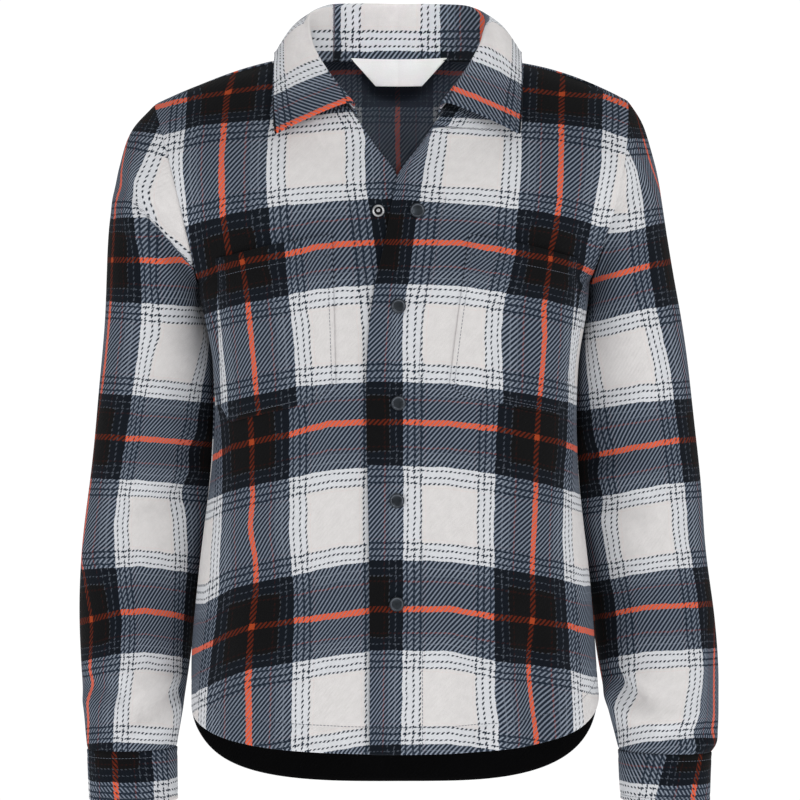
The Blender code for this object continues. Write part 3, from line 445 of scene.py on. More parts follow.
WEFT_SLEEVE_LEFT = (
    (182, ((80, 95), (160, 108), (220, 108))),
    (139.5, ((80, 128), (160, 134), (220, 150))),
    (42.5, ((80, 222), (127, 218), (160, 218), (220, 232))),
    (0, ((80, 262), (111, 260), (180, 260), (220, 268))),
    (-42.5, ((80, 300), (120, 302), (220, 308))),
    (-139.5, ((80, 392), (140, 396), (214, 404))),
    (-182, ((80, 436), (140, 439), (209, 444))),
    (-224.5, ((80, 478), (140, 480), (205, 486))),
    (-321.5, ((80, 570), (140, 566), (200, 574))),
    (-364, ((80, 623), (85, 622), (117, 613), (144, 611), (175, 615), (192, 620))),
    (-406.5, ((80, 662), (117, 654), (144, 652), (175, 656), (192, 660))),
    (-503.5, ((80, 744), (117, 742), (192, 746))),
)
WEFT_SLEEVE_RIGHT = (
    (182, ((600, 96), (640, 108), (700, 108))),
    (139.5, ((600, 140), (640, 138), (700, 140))),
    (42.5, ((590, 238), (613, 234), (640, 228), (680, 220))),
    (0, ((580, 284), (589.5, 282), (620, 273), (649, 265.6), (671, 261), (690, 259))),
    (-42.5, ((580, 326), (600, 321), (640, 310), (690, 302))),
    (-139.5, ((575, 412), (600, 408), (640, 402), (700, 398))),
    (-182, ((575, 459), (580, 458), (616, 452), (666, 442), (698, 439))),
    (-224.5, ((575, 500), (616, 494), (666, 484), (710, 480))),
    (-321.5, ((580, 584), (616, 578), (666, 570), (715, 566))),
    (-364, ((585, 619), (592, 618), (644, 607), (707, 604), (720, 604))),
    (-406.5, ((590, 662), (644, 652), (720, 648))),
    (-503.5, ((600, 752), (644, 742), (720, 738))),
)
# Soft creases in mm: from and to (across, height), depth, width. Minus depth is a valley.
FRONT_CREASES = (
    (-205, -245, -120, -180, -2, 14), (-200, -215, -150, -100, -1.2, 12), (200, -240, 120, -175, -1.8, 14),
    (195, -215, 160, -110, -1.2, 12), (-190, -420, -110, -395, -1.1, 16), (185, -430, 115, -405, -1.2, 16),
    (-150, -690, -140, -500, 2.6, 20), (-80, -710, -85, -550, -2.8, 20), (78, -715, 74, -560, -4.6, 16),
    (110, -715, 106, -570, 4.2, 17), (145, -700, 138, -550, -4, 15), (-60, -300, -30, -180, -0.8, 16),
    (50, -330, 75, -215, -0.8, 18),
)
BACK_CREASES = (
    (-200, -235, -110, -150, -2.2, 16), (-185, -280, -90, -225, -1.4, 18),
    (198, -232, 105, -160, -2.2, 15), (180, -290, 100, -215, -1.3, 19), (-150, -60, -60, -90, -1, 20),
    (140, -55, 50, -85, -1, 18), (-170, -470, -60, -430, -1.6, 20), (165, -460, 40, -425, -1.5, 22),
    (-90, -740, -80, -540, 2.6, 26), (-30, -760, -40, -560, -2.2, 24), (50, -755, 45, -520, 2.4, 26),
    (110, -740, 115, -570, -2.2, 24), (165, -700, 160, -560, 1.6, 20), (-150, -710, -155, -580, -1.6, 20),
)
# Sleeve creases, of the front half and the back half
LEFT_SLEEVE_CREASES = (
    (-293, -120, -208, -222, -4.2, 9), (-285, -165, -215, -235, 2.2, 12),
    (-196, -415, -275, -385, -5.2, 12), (-196, -445, -285, -460, -4.6, 12),
    (-210, -350, -260, -310, -1.6, 14), (-218, -650, -285, -690, -5.6, 10),
    (-335, -640, -270, -668, -4, 11), (-225, -560, -290, -590, -1.6, 15),
)
LEFT_SLEEVE_BACK_CREASES = (
    (-205, -170, -275, -215, -3, 13), (-300, -400, -225, -440, -3.4, 12),
    (-305, -455, -235, -480, -2.6, 13), (-310, -350, -240, -370, -2.2, 14),
    (-310, -640, -240, -675, -2.6, 12),
)
RIGHT_SLEEVE_CREASES = (
    (243, -120, 200, -215, -4.8, 10), (262, -150, 215, -250, 1.8, 13), (194, -420, 262, -392, -5, 12),
    (192, -450, 270, -468, -4.2, 12), (205, -350, 250, -310, -1.6, 14), (213, -635, 272, -668, -9, 10),
    (335, -690, 262, -704, -4.4, 10), (215, -560, 275, -585, -1.6, 15),
)
RIGHT_SLEEVE_BACK_CREASES = (
    (200, -172, 262, -220, -3, 13), (300, -400, 222, -436, -3.4, 12), (300, -452, 230, -482, -2.6, 13),
    (305, -352, 238, -372, -2.2, 14), (305, -645, 238, -678, -2.6, 12),
)


def creases(x, z, table):
    """Depth of soft creases, each a slightly wavy valley with lower ridges beside it."""
    total = np.zeros_like(x)
    for ax, az, bx, bz, depth, width in np.array(table) / 1000:
        dx, dz = bx - ax, bz - az
        length = math.hypot(dx, dz)
        along = ((x - ax) * dx + (z - az) * dz) / length ** 2
        off = ((x - ax) * dz - (z - az) * dx) / length
        fade = smooth_step(-0.05, 0.28, along) * (1 - smooth_step(0.62, 1.05, along))
        bend = (off + 0.35 * width * np.sin(3.0 * along + 40 * ax)) / width
        sides = np.exp(-(bend - 1.9) ** 2) + 0.6 * np.exp(-(bend + 1.9) ** 2)
        total += depth * fade * (np.exp(-bend ** 2) - 0.45 * sides)
    return total


# Waves per metre along each axis, and their share
SWELL = ((23, 9, 13, 1.0), (-17, 21, 19, 0.8), (41, -13, 7, 0.5), (9, 33, -37, 0.45))


def waves(points, seed, size):
    """Slow uneven swell of the cloth."""
    x, y, z = np.moveaxis(points, -1, 0)
    return size * sum(share * np.sin(a * x + b * y + c * z + seed * (1.7 + k))
                      for k, (a, b, c, share) in enumerate(SWELL))


def unit(vectors):
    return vectors / np.maximum(np.linalg.norm(vectors, axis=-1, keepdims=True), 1e-12)


def grid_normals(points, tube, sign):
    """Normals of a grid of points, to the side that sign gives."""
    if tube:
        across = np.roll(points, -1, 1) - np.roll(points, 1, 1)
    else:
        across = np.gradient(points, axis=1)
    return unit(np.cross(across, np.gradient(points, axis=0)) * sign)


def lengths(points, axis):
    """Length run along a grid's rows (axis 1) or columns (axis 0)."""
    step = np.linalg.norm(np.diff(points, axis=axis), axis=-1)
    zero = np.zeros_like(np.take(step, [0], axis))
    return np.concatenate([zero, np.cumsum(step, axis)], axis)


def add_mesh(name, verts, faces, layers, slots, materials):
    """Mesh from arrays. layers holds UV maps by name, slots the material number of each face."""
    mesh = bpy.data.meshes.new(name)
    mesh.vertices.add(len(verts))
    mesh.vertices.foreach_set("co", np.asarray(verts, np.float32).ravel())
    mesh.loops.add(faces.size)
    mesh.loops.foreach_set("vertex_index", faces.astype(np.int32).ravel())
    mesh.polygons.add(len(faces))
    mesh.polygons.foreach_set("loop_start", np.arange(0, faces.size, faces.shape[1], dtype=np.int32))
    mesh.polygons.foreach_set("material_index", np.asarray(slots, np.int32))
    mesh.update(calc_edges=True)
    for layer, uv in layers.items():
        mesh.uv_layers.new(name=layer)
        mesh.uv_layers[layer].data.foreach_set("uv", np.asarray(uv, np.float32).ravel())
    for material in materials:
        mesh.materials.append(material)
    mesh.shade_smooth()
    piece = bpy.data.objects.new(name, mesh)
    bpy.context.scene.collection.objects.link(piece)
    return piece


def add_cloth(name, points, u, v, wall, sign, tube=False, index=None, parts=1, outer=None, inner=None):
    """Thin cloth on a grid of mid points, both faces and a rounded rim. u and v are metres of cloth.

    A tube's u and v have one column more than its points. index numbers the grid's vertices where some are
    shared, and parts is the number of grids that stand side by side in the points.
    """
    rows, columns = points.shape[:2]
    normals = np.concatenate([grid_normals(part, tube, sign) for part in np.split(points, parts, 1)], 1)
    wide = columns + 1 if tube else columns
    if index is None:
        index = np.arange(rows * columns).reshape(rows, columns)
    if tube:
        index = np.concatenate([index, index[:, :1]], 1)
    _, first, index = np.unique(index, return_index=True, return_inverse=True)
    index = index.reshape(rows, wide)
    place = np.unravel_index(first, (rows, wide))
    mid = points[place[0], place[1] % columns]
    out = np.zeros_like(mid)
    np.add.at(out, index[:, :columns].ravel(), normals.reshape(-1, 3))
    out /= np.linalg.norm(out, axis=-1, keepdims=True)
    i, j = np.meshgrid(np.arange(rows - 1), np.arange(wide - 1), indexing="ij")
    corner_i = np.stack([i, i, i + 1, i + 1], -1).reshape(-1, 4)
    corner_j = np.stack([j, j + 1, j + 1, j], -1).reshape(-1, 4)
    if sign < 0:
        corner_i, corner_j = corner_i[:, ::-1], corner_j[:, ::-1]
    faces = index[corner_i, corner_j]
    if parts > 1:
        inside = (corner_j.min(1) + 1) % (columns // parts) != 0
        corner_i, corner_j, faces = corner_i[inside], corner_j[inside], faces[inside]
    # Border: edges of one face only
    start, end = faces, np.roll(faces, -1, 1)
    count = len(mid)
    lone = ~np.isin(start * count + end, end * count + start)
    f, k = np.nonzero(lone)
    p, q = faces[f, k], faces[f, (k + 1) % 4]
    edge_out = unit(np.cross(mid[q] - mid[p], out[p]))
    push = np.zeros_like(mid)
    for at in (p, q):
        np.add.at(push, at, edge_out)
    push = unit(push)
    border = np.unique(np.concatenate([p, q]))
    rim = np.full(count, -1)
    rim[border] = np.arange(len(border)) + 2 * count
    verts = np.vstack([mid + out * wall / 2, mid - out * wall / 2, (mid + push * wall * 0.42)[border]])
    rim_outer = np.stack([q, p, rim[p], rim[q]], -1)
    rim_inner = np.stack([rim[q], rim[p], p + count, q + count], -1)
    all_faces = np.vstack([faces, faces[:, ::-1] + count, rim_outer, rim_inner])
    # Cloth map in metres; bake map with the outer face below, the inner face above, and room between halves
    cloth = np.stack([u, v], -1)
    bake = np.meshgrid(np.linspace(MAP_EDGE, 1 - MAP_EDGE, wide), np.linspace(MAP_EDGE, 0.485, rows))
    bake = np.stack(bake, -1)
    high = bake + (0, MAP_HALF)
    pi, pj = corner_i[f, k], corner_j[f, k]
    qi, qj = corner_i[f, (k + 1) % 4], corner_j[f, (k + 1) % 4]
    centre = bake[corner_i, corner_j].mean(1)[f]
    away = unit((bake[pi, pj] + bake[qi, qj]) / 2 - centre) * MAP_RIM
    cloth_rim = np.stack([cloth[qi, qj], cloth[pi, pj], cloth[pi, pj], cloth[qi, qj]], 1)
    bake_rim = [np.stack([grid[qi, qj] + away * a, grid[pi, pj] + away * a, grid[pi, pj] + away * b,
                          grid[qi, qj] + away * b], 1) for grid, a, b in ((bake, 0, 1), (high, 1, 0))]
    turned = corner_i[:, ::-1], corner_j[:, ::-1]
    cloth_uv = np.vstack([cloth[corner_i, corner_j], cloth[turned], cloth_rim, cloth_rim])
    bake_uv = np.vstack([bake[corner_i, corner_j], high[turned], *bake_rim])
    slots = np.repeat([0, 1, 0, 1], [len(faces), len(faces), len(f), len(f)])
    piece = add_mesh(name + "_cloth", verts, all_faces, {"OFBake": bake_uv, "Cloth": cloth_uv}, slots,
                     [outer or flannel, inner or reverse])
    return piece, normals


def follow(line, at):
    """Second number of a line of pairs at the first numbers given."""
    return np.interp(at, *np.transpose(line))


def weft_at(px, py, table):
    """Distance along the pattern in metres at seen places, between the weft lines of a table."""
    heights = np.stack([follow(line, px) for _, line in table])
    values = np.array([value for value, _ in table]) / 1000
    k = np.clip((heights <= py[None]).sum(0) - 1, 0, len(table) - 2)
    low = np.take_along_axis(heights, k[None], 0)[0]
    high = np.take_along_axis(heights, k[None] + 1, 0)[0]
    result = values[k] + (values[k + 1] - values[k]) * (py - low) / np.maximum(high - low, 1e-6)
    # Beyond the table the cloth runs on at its true size
    result = np.where(py < heights[0], values[0] + (heights[0] - py) * SEEN_STEP, result)
    return np.where(py > heights[-1], values[-1] - (py - heights[-1]) * SEEN_STEP, result)


def level_map(points, side, lines, columns=slice(None), steps=500):
    """Place across the pattern in metres, from the yarns that the photograph shows, along level lines.

    lines holds pairs of a place across the pattern in mm and the line that it follows as seen, the main
    orange yarn first. Beyond them the cloth keeps its true size. columns is the part of the grid where they
    are looked for.
    """
    z = points[..., 2]
    levels = np.linspace(z.min(), z.max(), steps)
    at = np.zeros((steps, points.shape[1], 3))
    there = np.zeros((steps, points.shape[1]), bool)
    for j in range(points.shape[1]):
        order = np.argsort(z[:, j])
        for k in (0, 1):
            at[:, j, k] = np.interp(levels, z[order, j], points[order, j, k])
        there[:, j] = (levels >= z[:, j].min() - 1e-4) & (levels <= z[:, j].max() + 1e-4)
    at[..., 2] = levels[:, None]
    run = lengths(at * (1.0, 1.0, 0.0), 1)
    px, py = seen(at)
    number = np.arange(points.shape[1])
    open_part = there[:, columns]
    reach = steps // 60
    places = []
    for _, path in lines:
        # The line's column at every level, smoothed from level to level
        gap = (px - follow(path, py))[:, columns]
        found = np.full(steps, np.nan)
        for k in range(steps):
            turn = np.nonzero((gap[k, :-1] * gap[k, 1:] <= 0) & open_part[k, :-1] & open_part[k, 1:])[0]
            if len(turn):
                j = turn[len(turn) // 2]
                found[k] = number[columns][j] + gap[k, j] / (gap[k, j] - gap[k, j + 1] + 1e-12)
        good = np.nonzero(~np.isnan(found))[0]
        found = np.pad(np.interp(np.arange(steps), good, found[good]), reach, "edge")
        found = np.convolve(found, np.ones(2 * reach + 1) / (2 * reach + 1), "valid")
        places.append([np.interp(column, number, row) for column, row in zip(found, run)])
    places = np.array(places)
    zero = places[0]
    apart = places - zero
    values = side * np.array([value for value, _ in lines]) / 1000
    field = np.zeros_like(run)
    for k in range(steps):
        order = np.argsort(apart[:, k])
        xs, us = apart[order, k], values[order]
        x = run[k] - zero[k]
        field[k] = np.interp(x, xs, us) + np.minimum(x - xs[0], 0) + np.maximum(x - xs[-1], 0)
    result = np.zeros(z.shape)
    for j in range(points.shape[1]):
        result[:, j] = np.interp(z[:, j], levels, field[:, j])
    return side * result


class Surface:
    """Fine grid of a panel that other pieces are laid on."""

    def __init__(self, s, v, points, normals):
        self.s, self.v, self.points, self.normals = s, v, points, normals

    def at(self, s, v, lift=0.0):
        s, v = np.broadcast_arrays(np.asarray(s, float), np.asarray(v, float))
        x = np.interp(s, self.s, np.arange(len(self.s)))
        y = np.interp(v, self.v, np.arange(len(self.v)))
        i, j = np.minimum(y.astype(int), len(self.v) - 2), np.minimum(x.astype(int), len(self.s) - 2)
        fy, fx = (y - i)[..., None], (x - j)[..., None]
        grids = []
        for grid in (self.points, self.normals):
            grids.append((grid[i, j] * (1 - fx) + grid[i, j + 1] * fx) * (1 - fy)
                         + (grid[i + 1, j] * (1 - fx) + grid[i + 1, j + 1] * fx) * fy)
        normals = unit(grids[1])
        return grids[0] + normals * lift, normals


def front_on(side, across, height, tries=24, step=1e-4):
    """Shares s and v of the front panel's points seen straight on at the given across and height."""
    across, height = np.broadcast_arrays(np.asarray(across, float), np.asarray(height, float))
    s, v = np.full(across.shape, 0.5), np.full(across.shape, 0.5)
    for _ in range(tries):
        p = panel_point(side, "front", s, v)
        ds = (panel_point(side, "front", s + step, v) - p) / step
        dv = (panel_point(side, "front", s, v + step) - p) / step
        miss_a, miss_h = across - p[..., 0] * side, height - p[..., 2]
        det = ds[..., 0] * side * dv[..., 2] - dv[..., 0] * side * ds[..., 2]
        s = np.clip(s + 0.8 * (miss_a * dv[..., 2] - miss_h * dv[..., 0] * side) / det, 0.001, 0.998)
        v = np.clip(v + 0.8 * (miss_h * ds[..., 0] * side - miss_a * ds[..., 2]) / det, 0.001, 0.998)
    return s, v


def groove(distance, at, depth=0.0005, width=0.0018):
    """Line pressed in by a row of stitches."""
    return -depth * np.exp(-((distance - at) / width) ** 2)


def seam(distance, depth=0.0005, width=0.0022):
    """Cloth turned in at a seam."""
    return -depth * np.exp(-(distance / width) ** 2)


def panel_rows(face, low, high):
    """Shares of a panel's height for its rows, even round the armhole."""
    table = FRONT_ARMHOLE if face == "front" else BACK_ARMHOLE
    fine = np.linspace(PIT, 1.0, 2000)
    upper = np.interp(np.linspace(0, 180, high + 1), smooth(table, 1, fine), fine)
    return np.concatenate([np.linspace(0, PIT, low + 1)[:-1], upper])


# Fine grids of the fronts, by side, that other pieces are laid on
surfaces = {}


def keep(piece, node, replaces=True):
    """Hangs a piece on the root body and hides the model's part that it replaces, unless replaces is false.
    """
    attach(piece, "root")
    if replaces:
        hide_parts(node)


# Materials


def shader_node(tree, kind, inputs=None, out=0, **settings):
    """Output of a new node. inputs holds a number, a colour or a link by socket."""
    made = tree.nodes.new("ShaderNode" + kind)
    for key, value in settings.items():
        setattr(made, key, value)
    for number, value in (inputs or {}).items():
        socket = made.inputs[number]
        if isinstance(value, bpy.types.NodeSocket):
            tree.links.new(value, socket)
        else:
            socket.default_value = value
    return made.outputs[out]


def sum_of(tree, kind, *values):
    """Output of one math node."""
    return shader_node(tree, "Math", dict(enumerate(values)), operation=kind)


def mixed(tree, factor, a, b):
    """Number or colour between a and b."""
    if isinstance(a, tuple) or isinstance(b, tuple) or getattr(a, "type", "") == "RGBA":
        a, b = [(*c, 1) if isinstance(c, tuple) else c for c in (a, b)]
        return shader_node(tree, "Mix", {0: factor, 6: a, 7: b}, out=2, data_type="RGBA")
    return shader_node(tree, "Mix", {0: factor, 2: a, 3: b}, data_type="FLOAT")


def noise(tree, vector, scale, detail=2.0, roughness=0.5):
    inputs = {0: vector, 2: scale, 3: detail, 4: roughness}
    return shader_node(tree, "TexNoise", inputs, noise_dimensions="2D")


def ramp(tree, at, stops, interpolation="LINEAR"):
    """Colour ramp of (place, colour) stops, a colour as three numbers or #rrggbb."""
    made = tree.nodes.new("ShaderNodeValToRGB")
    band = made.color_ramp
    band.interpolation = interpolation
    while len(band.elements) < len(stops):
        band.elements.new(0.5)
    for element, (place, colour) in zip(band.elements, stops):
        element.position = place
        element.color = (*(srgb(colour) if isinstance(colour, str) else colour), 1)
    tree.links.new(at, made.inputs[0])
    return made.outputs[0]


def srgb(text):
    """Linear colour of a #rrggbb value."""
    parts = [int(text[k:k + 2], 16) / 255 for k in (1, 3, 5)]
    return tuple(c / 12.92 if c <= 0.04045 else ((c + 0.055) / 1.055) ** 2.4 for c in parts)


def stretched(tree, at, low, high):
    """From 0 where at is low to 1 where it is high."""
    return shader_node(tree, "MapRange", {0: at, 1: low, 2: high, 3: 0.0, 4: 1.0})


def plaid(tree, vector):
    """Woven colour and height from the cloth map, and the height on the pattern."""
    split = tree.nodes.new("ShaderNodeSeparateXYZ")
    tree.links.new(vector, split.inputs[0])
    # Hand of the cloth: yarns wander a little, and the nap blurs their edges
    wander = sum_of(tree, "MULTIPLY_ADD", noise(tree, vector, 60.0), 0.0022, -0.0011)
    fuzz = sum_of(tree, "MULTIPLY_ADD", noise(tree, vector, 800.0, 1.0), 0.0015, -0.00075)
    shift = sum_of(tree, "ADD", wander, fuzz)
    u = sum_of(tree, "ADD", split.outputs[0], shift)
    v = sum_of(tree, "ADD", split.outputs[1], shift)
    yarns = []
    for at, period, table in ((u, WARP_PERIOD, WARP_YARNS), (v, WEFT_PERIOD, WEFT_YARNS)):
        share = sum_of(tree, "DIVIDE", sum_of(tree, "PINGPONG", at, period / 2), period / 2)
        starts = [0.0] + [row[0] / table[-1][0] for row in table[:-1]]
        stops = [(start, row[1:]) for start, row in zip(starts, table)]
        parts = tree.nodes.new("ShaderNodeSeparateColor")
        tree.links.new(ramp(tree, share, stops, "CONSTANT"), parts.inputs[0])
        yarns.append(parts.outputs)
    warp, weft = yarns
    # Twill: one share of each float shows the warp, the other the weft
    phase = sum_of(tree, "SUBTRACT", sum_of(tree, "DIVIDE", u, TWILL),
                   sum_of(tree, "DIVIDE", v, TWILL * TWILL_SLOPE))
    wave = sum_of(tree, "PINGPONG", phase, 0.5)
    # The darker yarn covers a little more, but not in the white field
    most = sum_of(tree, "MAXIMUM", warp[2], weft[2])
    least = sum_of(tree, "MINIMUM", warp[2], weft[2])
    lead = sum_of(tree, "MULTIPLY", sum_of(tree, "SUBTRACT", warp[0], weft[0]),
                  sum_of(tree, "MULTIPLY_ADD", least, 0.075, -0.060))
    face = stretched(tree, sum_of(tree, "ADD", wave, lead), 0.16, 0.34)
    white = mixed(tree, face, weft[0], warp[0])
    orange = mixed(tree, face, weft[1], warp[1])
    under = mixed(tree, face, warp[1], weft[1])
    through = mixed(tree, white, 0.06, 0.55)
    orange = sum_of(tree, "MAXIMUM", orange, sum_of(tree, "MULTIPLY", under, through))
    both = sum_of(tree, "MULTIPLY", warp[1], weft[1])
    light = ramp(tree, least, ((0.0, "#7c8593"), (0.5, "#a9b2bf"), (0.8, "#d1d3d7"), (1.0, "#d6d3d2")))
    dark = ramp(tree, most, ((0.0, "#0f0f10"), (0.12, "#10151c"), (0.8, "#242d39"), (1.0, "#1c2531")))
    bright = ramp(tree, most, ((0.0, "#5a2010"), (0.12, "#642614"), (0.8, "#e05c36"), (1.0, "#e05c36")))
    bright = mixed(tree, both, bright, srgb("#a0401f"))
    colour = mixed(tree, orange, mixed(tree, white, dark, light), bright)
    # Nap: fibres of both yarns brushed over each other
    grain = noise(tree, vector, 1500.0, 2.0, 0.7)
    cloud = noise(tree, vector, 120.0, 3.0, 0.6)
    tone = sum_of(tree, "ADD", sum_of(tree, "MULTIPLY_ADD", grain, 0.26, 0.87),
                  sum_of(tree, "MULTIPLY_ADD", cloud, 0.16, -0.08))
    colour = shader_node(tree, "Mix", {0: 1.0, 6: colour, 7: tone}, out=2, data_type="RGBA",
                         blend_type="MULTIPLY")
    rib = sum_of(tree, "PINGPONG", sum_of(tree, "SUBTRACT", phase, 0.25), 0.5)
    height = sum_of(tree, "ADD", sum_of(tree, "MULTIPLY", rib, 0.8), sum_of(tree, "MULTIPLY", grain, 0.6))
    return colour, height, split.outputs[1]


def new_material(name, roughness, metallic=0.0):
    material = bpy.data.materials.new(name)
    material.use_nodes = True
    shader = material.node_tree.nodes["Principled BSDF"]
    shader.inputs["Roughness"].default_value = roughness
    shader.inputs["Metallic"].default_value = metallic
    return material, material.node_tree, shader


def bump(tree, shader, height, strength, distance):
    normal = shader_node(tree, "Bump", {"Strength": strength, "Distance": distance, "Height": height})
    tree.links.new(normal, shader.inputs["Normal"])


def flannel_material(name, reverse=False):
    material, tree, shader = new_material(name, 0.95)
    vector = shader_node(tree, "UVMap", uv_map="Cloth")
    colour, height, down = plaid(tree, vector)
    if reverse:
        # Duller and less brushed on the inside, its colours drawn towards a grey blue
        colour = mixed(tree, 0.55, colour, srgb("#48505e"))
        # Painted shade: the inside goes near black towards the hem, where it lies in shade
        colour = mixed(tree, stretched(tree, down, -0.36, -0.60), colour, srgb("#060607"))
    tree.links.new(colour, shader.inputs["Base Color"])
    shader.inputs["Specular IOR Level"].default_value = 0.06
    shader.inputs["Sheen Weight"].default_value = 0.0 if reverse else 0.02
    shader.inputs["Sheen Roughness"].default_value = 0.6
    bump(tree, shader, height, 0.55, 0.0006)
    return material


def metal_material(name, dark, light, roughness):
    """Plated metal with fine turning marks, rubbed lighter here and there."""
    material, tree, shader = new_material(name, roughness, 1.0)
    place = shader_node(tree, "TexCoord", out=3)
    grain = shader_node(tree, "TexNoise", {0: place, 2: 900.0, 3: 3.0})
    cloud = shader_node(tree, "TexNoise", {0: place, 2: 160.0, 3: 2.0})
    tree.links.new(mixed(tree, cloud, srgb(dark), srgb(light)), shader.inputs["Base Color"])
    tree.links.new(sum_of(tree, "MULTIPLY_ADD", grain, 0.12, roughness - 0.06), shader.inputs["Roughness"])
    return material


def thread_material():
    material, tree, shader = new_material("thread", 0.8)
    place = shader_node(tree, "TexCoord", out=3)
    twist = noise(tree, place, 2200.0)
    tree.links.new(mixed(tree, twist, srgb("#454b56"), srgb("#626874")), shader.inputs["Base Color"])
    shader.inputs["Sheen Weight"].default_value = 0.05
    bump(tree, shader, twist, 0.3, 0.0002)
    return material


def label_material():
    """White woven tape: fine cross ribs with fainter warp."""
    material, tree, shader = new_material("label_tape", 0.82)
    vector = shader_node(tree, "UVMap", uv_map="Cloth")
    split = tree.nodes.new("ShaderNodeSeparateXYZ")
    tree.links.new(vector, split.inputs[0])
    rib, warp = [sum_of(tree, "MULTIPLY", sum_of(tree, "PINGPONG", split.outputs[k], step), tall)
                 for k, step, tall in ((1, 0.0004, 2500.0), (0, 0.0003, 1500.0))]
    height = sum_of(tree, "ADD", rib, warp)
    fibre = noise(tree, vector, 700.0)
    tree.links.new(mixed(tree, fibre, srgb("#f0efef"), srgb("#fafafa")), shader.inputs["Base Color"])
    shader.inputs["Sheen Weight"].default_value = 0.15
    bump(tree, shader, height, 0.35, 0.0002)
    return material


flannel = flannel_material("flannel_face")
reverse = flannel_material("flannel_reverse_painted_shade", reverse=True)
gunmetal = metal_material("gunmetal_plate", "#24282c", "#4a4f55", 0.33)
# Painted highlight: the sloped ring inside each cap's rim is lighter metal, where light catches it
gunmetal_rim_painted_highlight = metal_material("gunmetal_rim_painted_highlight", "#40444a", "#696e76", 0.32)
nickel = metal_material("nickel_plate", "#9c9da0", "#d6d6d8", 0.30)
# Painted shade: the recess round the stud's pin, where shade falls, is near-black metal
well = metal_material("stud_well_painted_shade", "#17171a", "#2a2a2d", 0.45)
thread = thread_material()
tape = label_material()


# Fronts, back


def edge_distances(points):
    """Distance of every grid point from the first and last column and from the first and last row."""
    across, along = lengths(points, 1), lengths(points, 0)
    return across, across[:, -1:] - across, along, along[-1:] - along


stitch_lines = []        # (points, normals) of each row of stitches, filled as the pieces are made


def grid_line(points, normals, distance, at, axis):
    """Line across a grid where the distance reaches a value along the axis."""
    if axis == 0:
        points, normals, distance = points.swapaxes(0, 1), normals.swapaxes(0, 1), distance.T
    line, out = [], []
    for row, n, d in zip(points, normals, distance):
        if d.min() < at < d.max():
            order = np.argsort(d)
            line.append([np.interp(at, d[order], row[order, k]) for k in range(3)])
            out.append([np.interp(at, d[order], n[order, k]) for k in range(3)])
    return np.array(line), np.array(out)


def add_front(side, name):
    rows = panel_rows("front", *FRONT_GRID[1:])
    s, v = np.meshgrid(np.linspace(0, 1, FRONT_GRID[0]), rows)
    base = panel_point(side, "front", s, v)
    normals = grid_normals(base, False, side)
    from_edge, from_seam, from_hem, from_top = edge_distances(base)
    x, z = base[..., 0], base[..., 2]
    off = creases(x, z, FRONT_CREASES)
    off += waves(base, 1.0, 0.0006) * smooth_step(0.0, 0.10, from_edge)
    off += seam(from_seam) + seam(from_top)
    off += groove(from_hem, HEM_STITCH, 0.0006) + groove(from_edge, PLACKET_STITCH)
    if side == RIGHT:
        # The closing edge stands off the other front between the first two snaps
        off += 0.0042 * np.exp(-(from_edge / 0.022) ** 2) * np.exp(-((z + 0.212) / 0.034) ** 2)
    u = level_map(base, side, WARP_LEFT if side == LEFT else WARP_RIGHT)
    w = weft_at(*seen(base), WEFT_LEFT if side == LEFT else WEFT_RIGHT)
    base = base + normals * off[..., None]
    piece, normals = add_cloth(name, base, u, w, WALL, side)
    surfaces[side] = Surface(s[0], rows, base, normals)
    lifted = base + normals * WALL / 2
    low = rows < PLACKET_TOP
    stitch_lines.append(grid_line(lifted[low], normals[low], from_edge[low], PLACKET_STITCH, 1))
    stitch_lines.append(grid_line(lifted, normals, from_hem, HEM_STITCH, 0))
    keep(piece, name)


def add_back():
    rows = panel_rows("back", *BACK_GRID[1:])
    s, v = np.meshgrid(np.linspace(0, 1, BACK_GRID[0]), rows)
    half = [panel_point(side, "back", s, v) for side in (LEFT, RIGHT)]
    base = np.concatenate([half[0][:, ::-1], half[1]], 1)
    columns = s.shape[1]
    index = np.arange(base.shape[0] * base.shape[1]).reshape(base.shape[:2])
    joined = np.abs(half[0][:, 0, 0]) < 1e-7
    index[joined, columns] = index[joined, columns - 1]
    normals = np.concatenate([grid_normals(part, False, -1) for part in np.split(base, 2, 1)], 1)
    middle = slice(columns - 1, columns + 1)
    normals[joined, middle] = normals[joined, middle].mean(1, keepdims=True)
    from_left, from_right, from_hem, from_top = edge_distances(base)
    x, y, z = base[..., 0], base[..., 1], base[..., 2]
    off = creases(x, z, BACK_CREASES) + waves(base, 2.0, 0.0008)
    off += seam(from_left) + seam(from_right) + seam(from_top)
    off += groove(from_hem, HEM_STITCH, 0.0006)
    u = level_map(base, RIGHT, ((0, ((0, 400), (800, 400))),)) / 1.02
    # Over the shoulders the yarns run on forwards, square to the ones across
    top = smooth_step(-0.17, -0.06, z)
    out = np.abs(x)
    straight = np.sign(x) * (np.minimum(out, 0.14) * 1.02 + np.maximum(out - 0.14, 0) * 1.05)
    u = u + (straight - u) * top
    forwards = np.hypot(np.diff(y, axis=0), np.diff(z, axis=0)) - np.diff(z, axis=0)
    forwards = np.concatenate([np.zeros((1, y.shape[1])), np.cumsum(forwards * top[1:], 0)])
    w = 1.03 * (z + forwards - 0.007 + 0.004 * (x / 0.19) ** 2)
    base = base + normals * off[..., None]
    piece, normals = add_cloth("back", base, u, w, WALL, -1, index=index, parts=2)
    stitch_lines.append(grid_line(base + normals * WALL / 2, normals, from_hem, HEM_STITCH, 0))
    keep(piece, "back")


# Sleeves and cuffs


def tube_points(side, table, columns, shares):
    """Turns, shares of the length, and points of a sleeve's or cuff's grid."""
    turns, share = np.meshgrid(np.arange(columns) / columns, shares)
    point = ring_point(table, share, turns * 360.0)
    point[..., 0] *= side
    return turns, share, point


def closed(grid):
    """Grid with its first column repeated at the end."""
    return np.concatenate([grid, grid[:, :1]], 1)


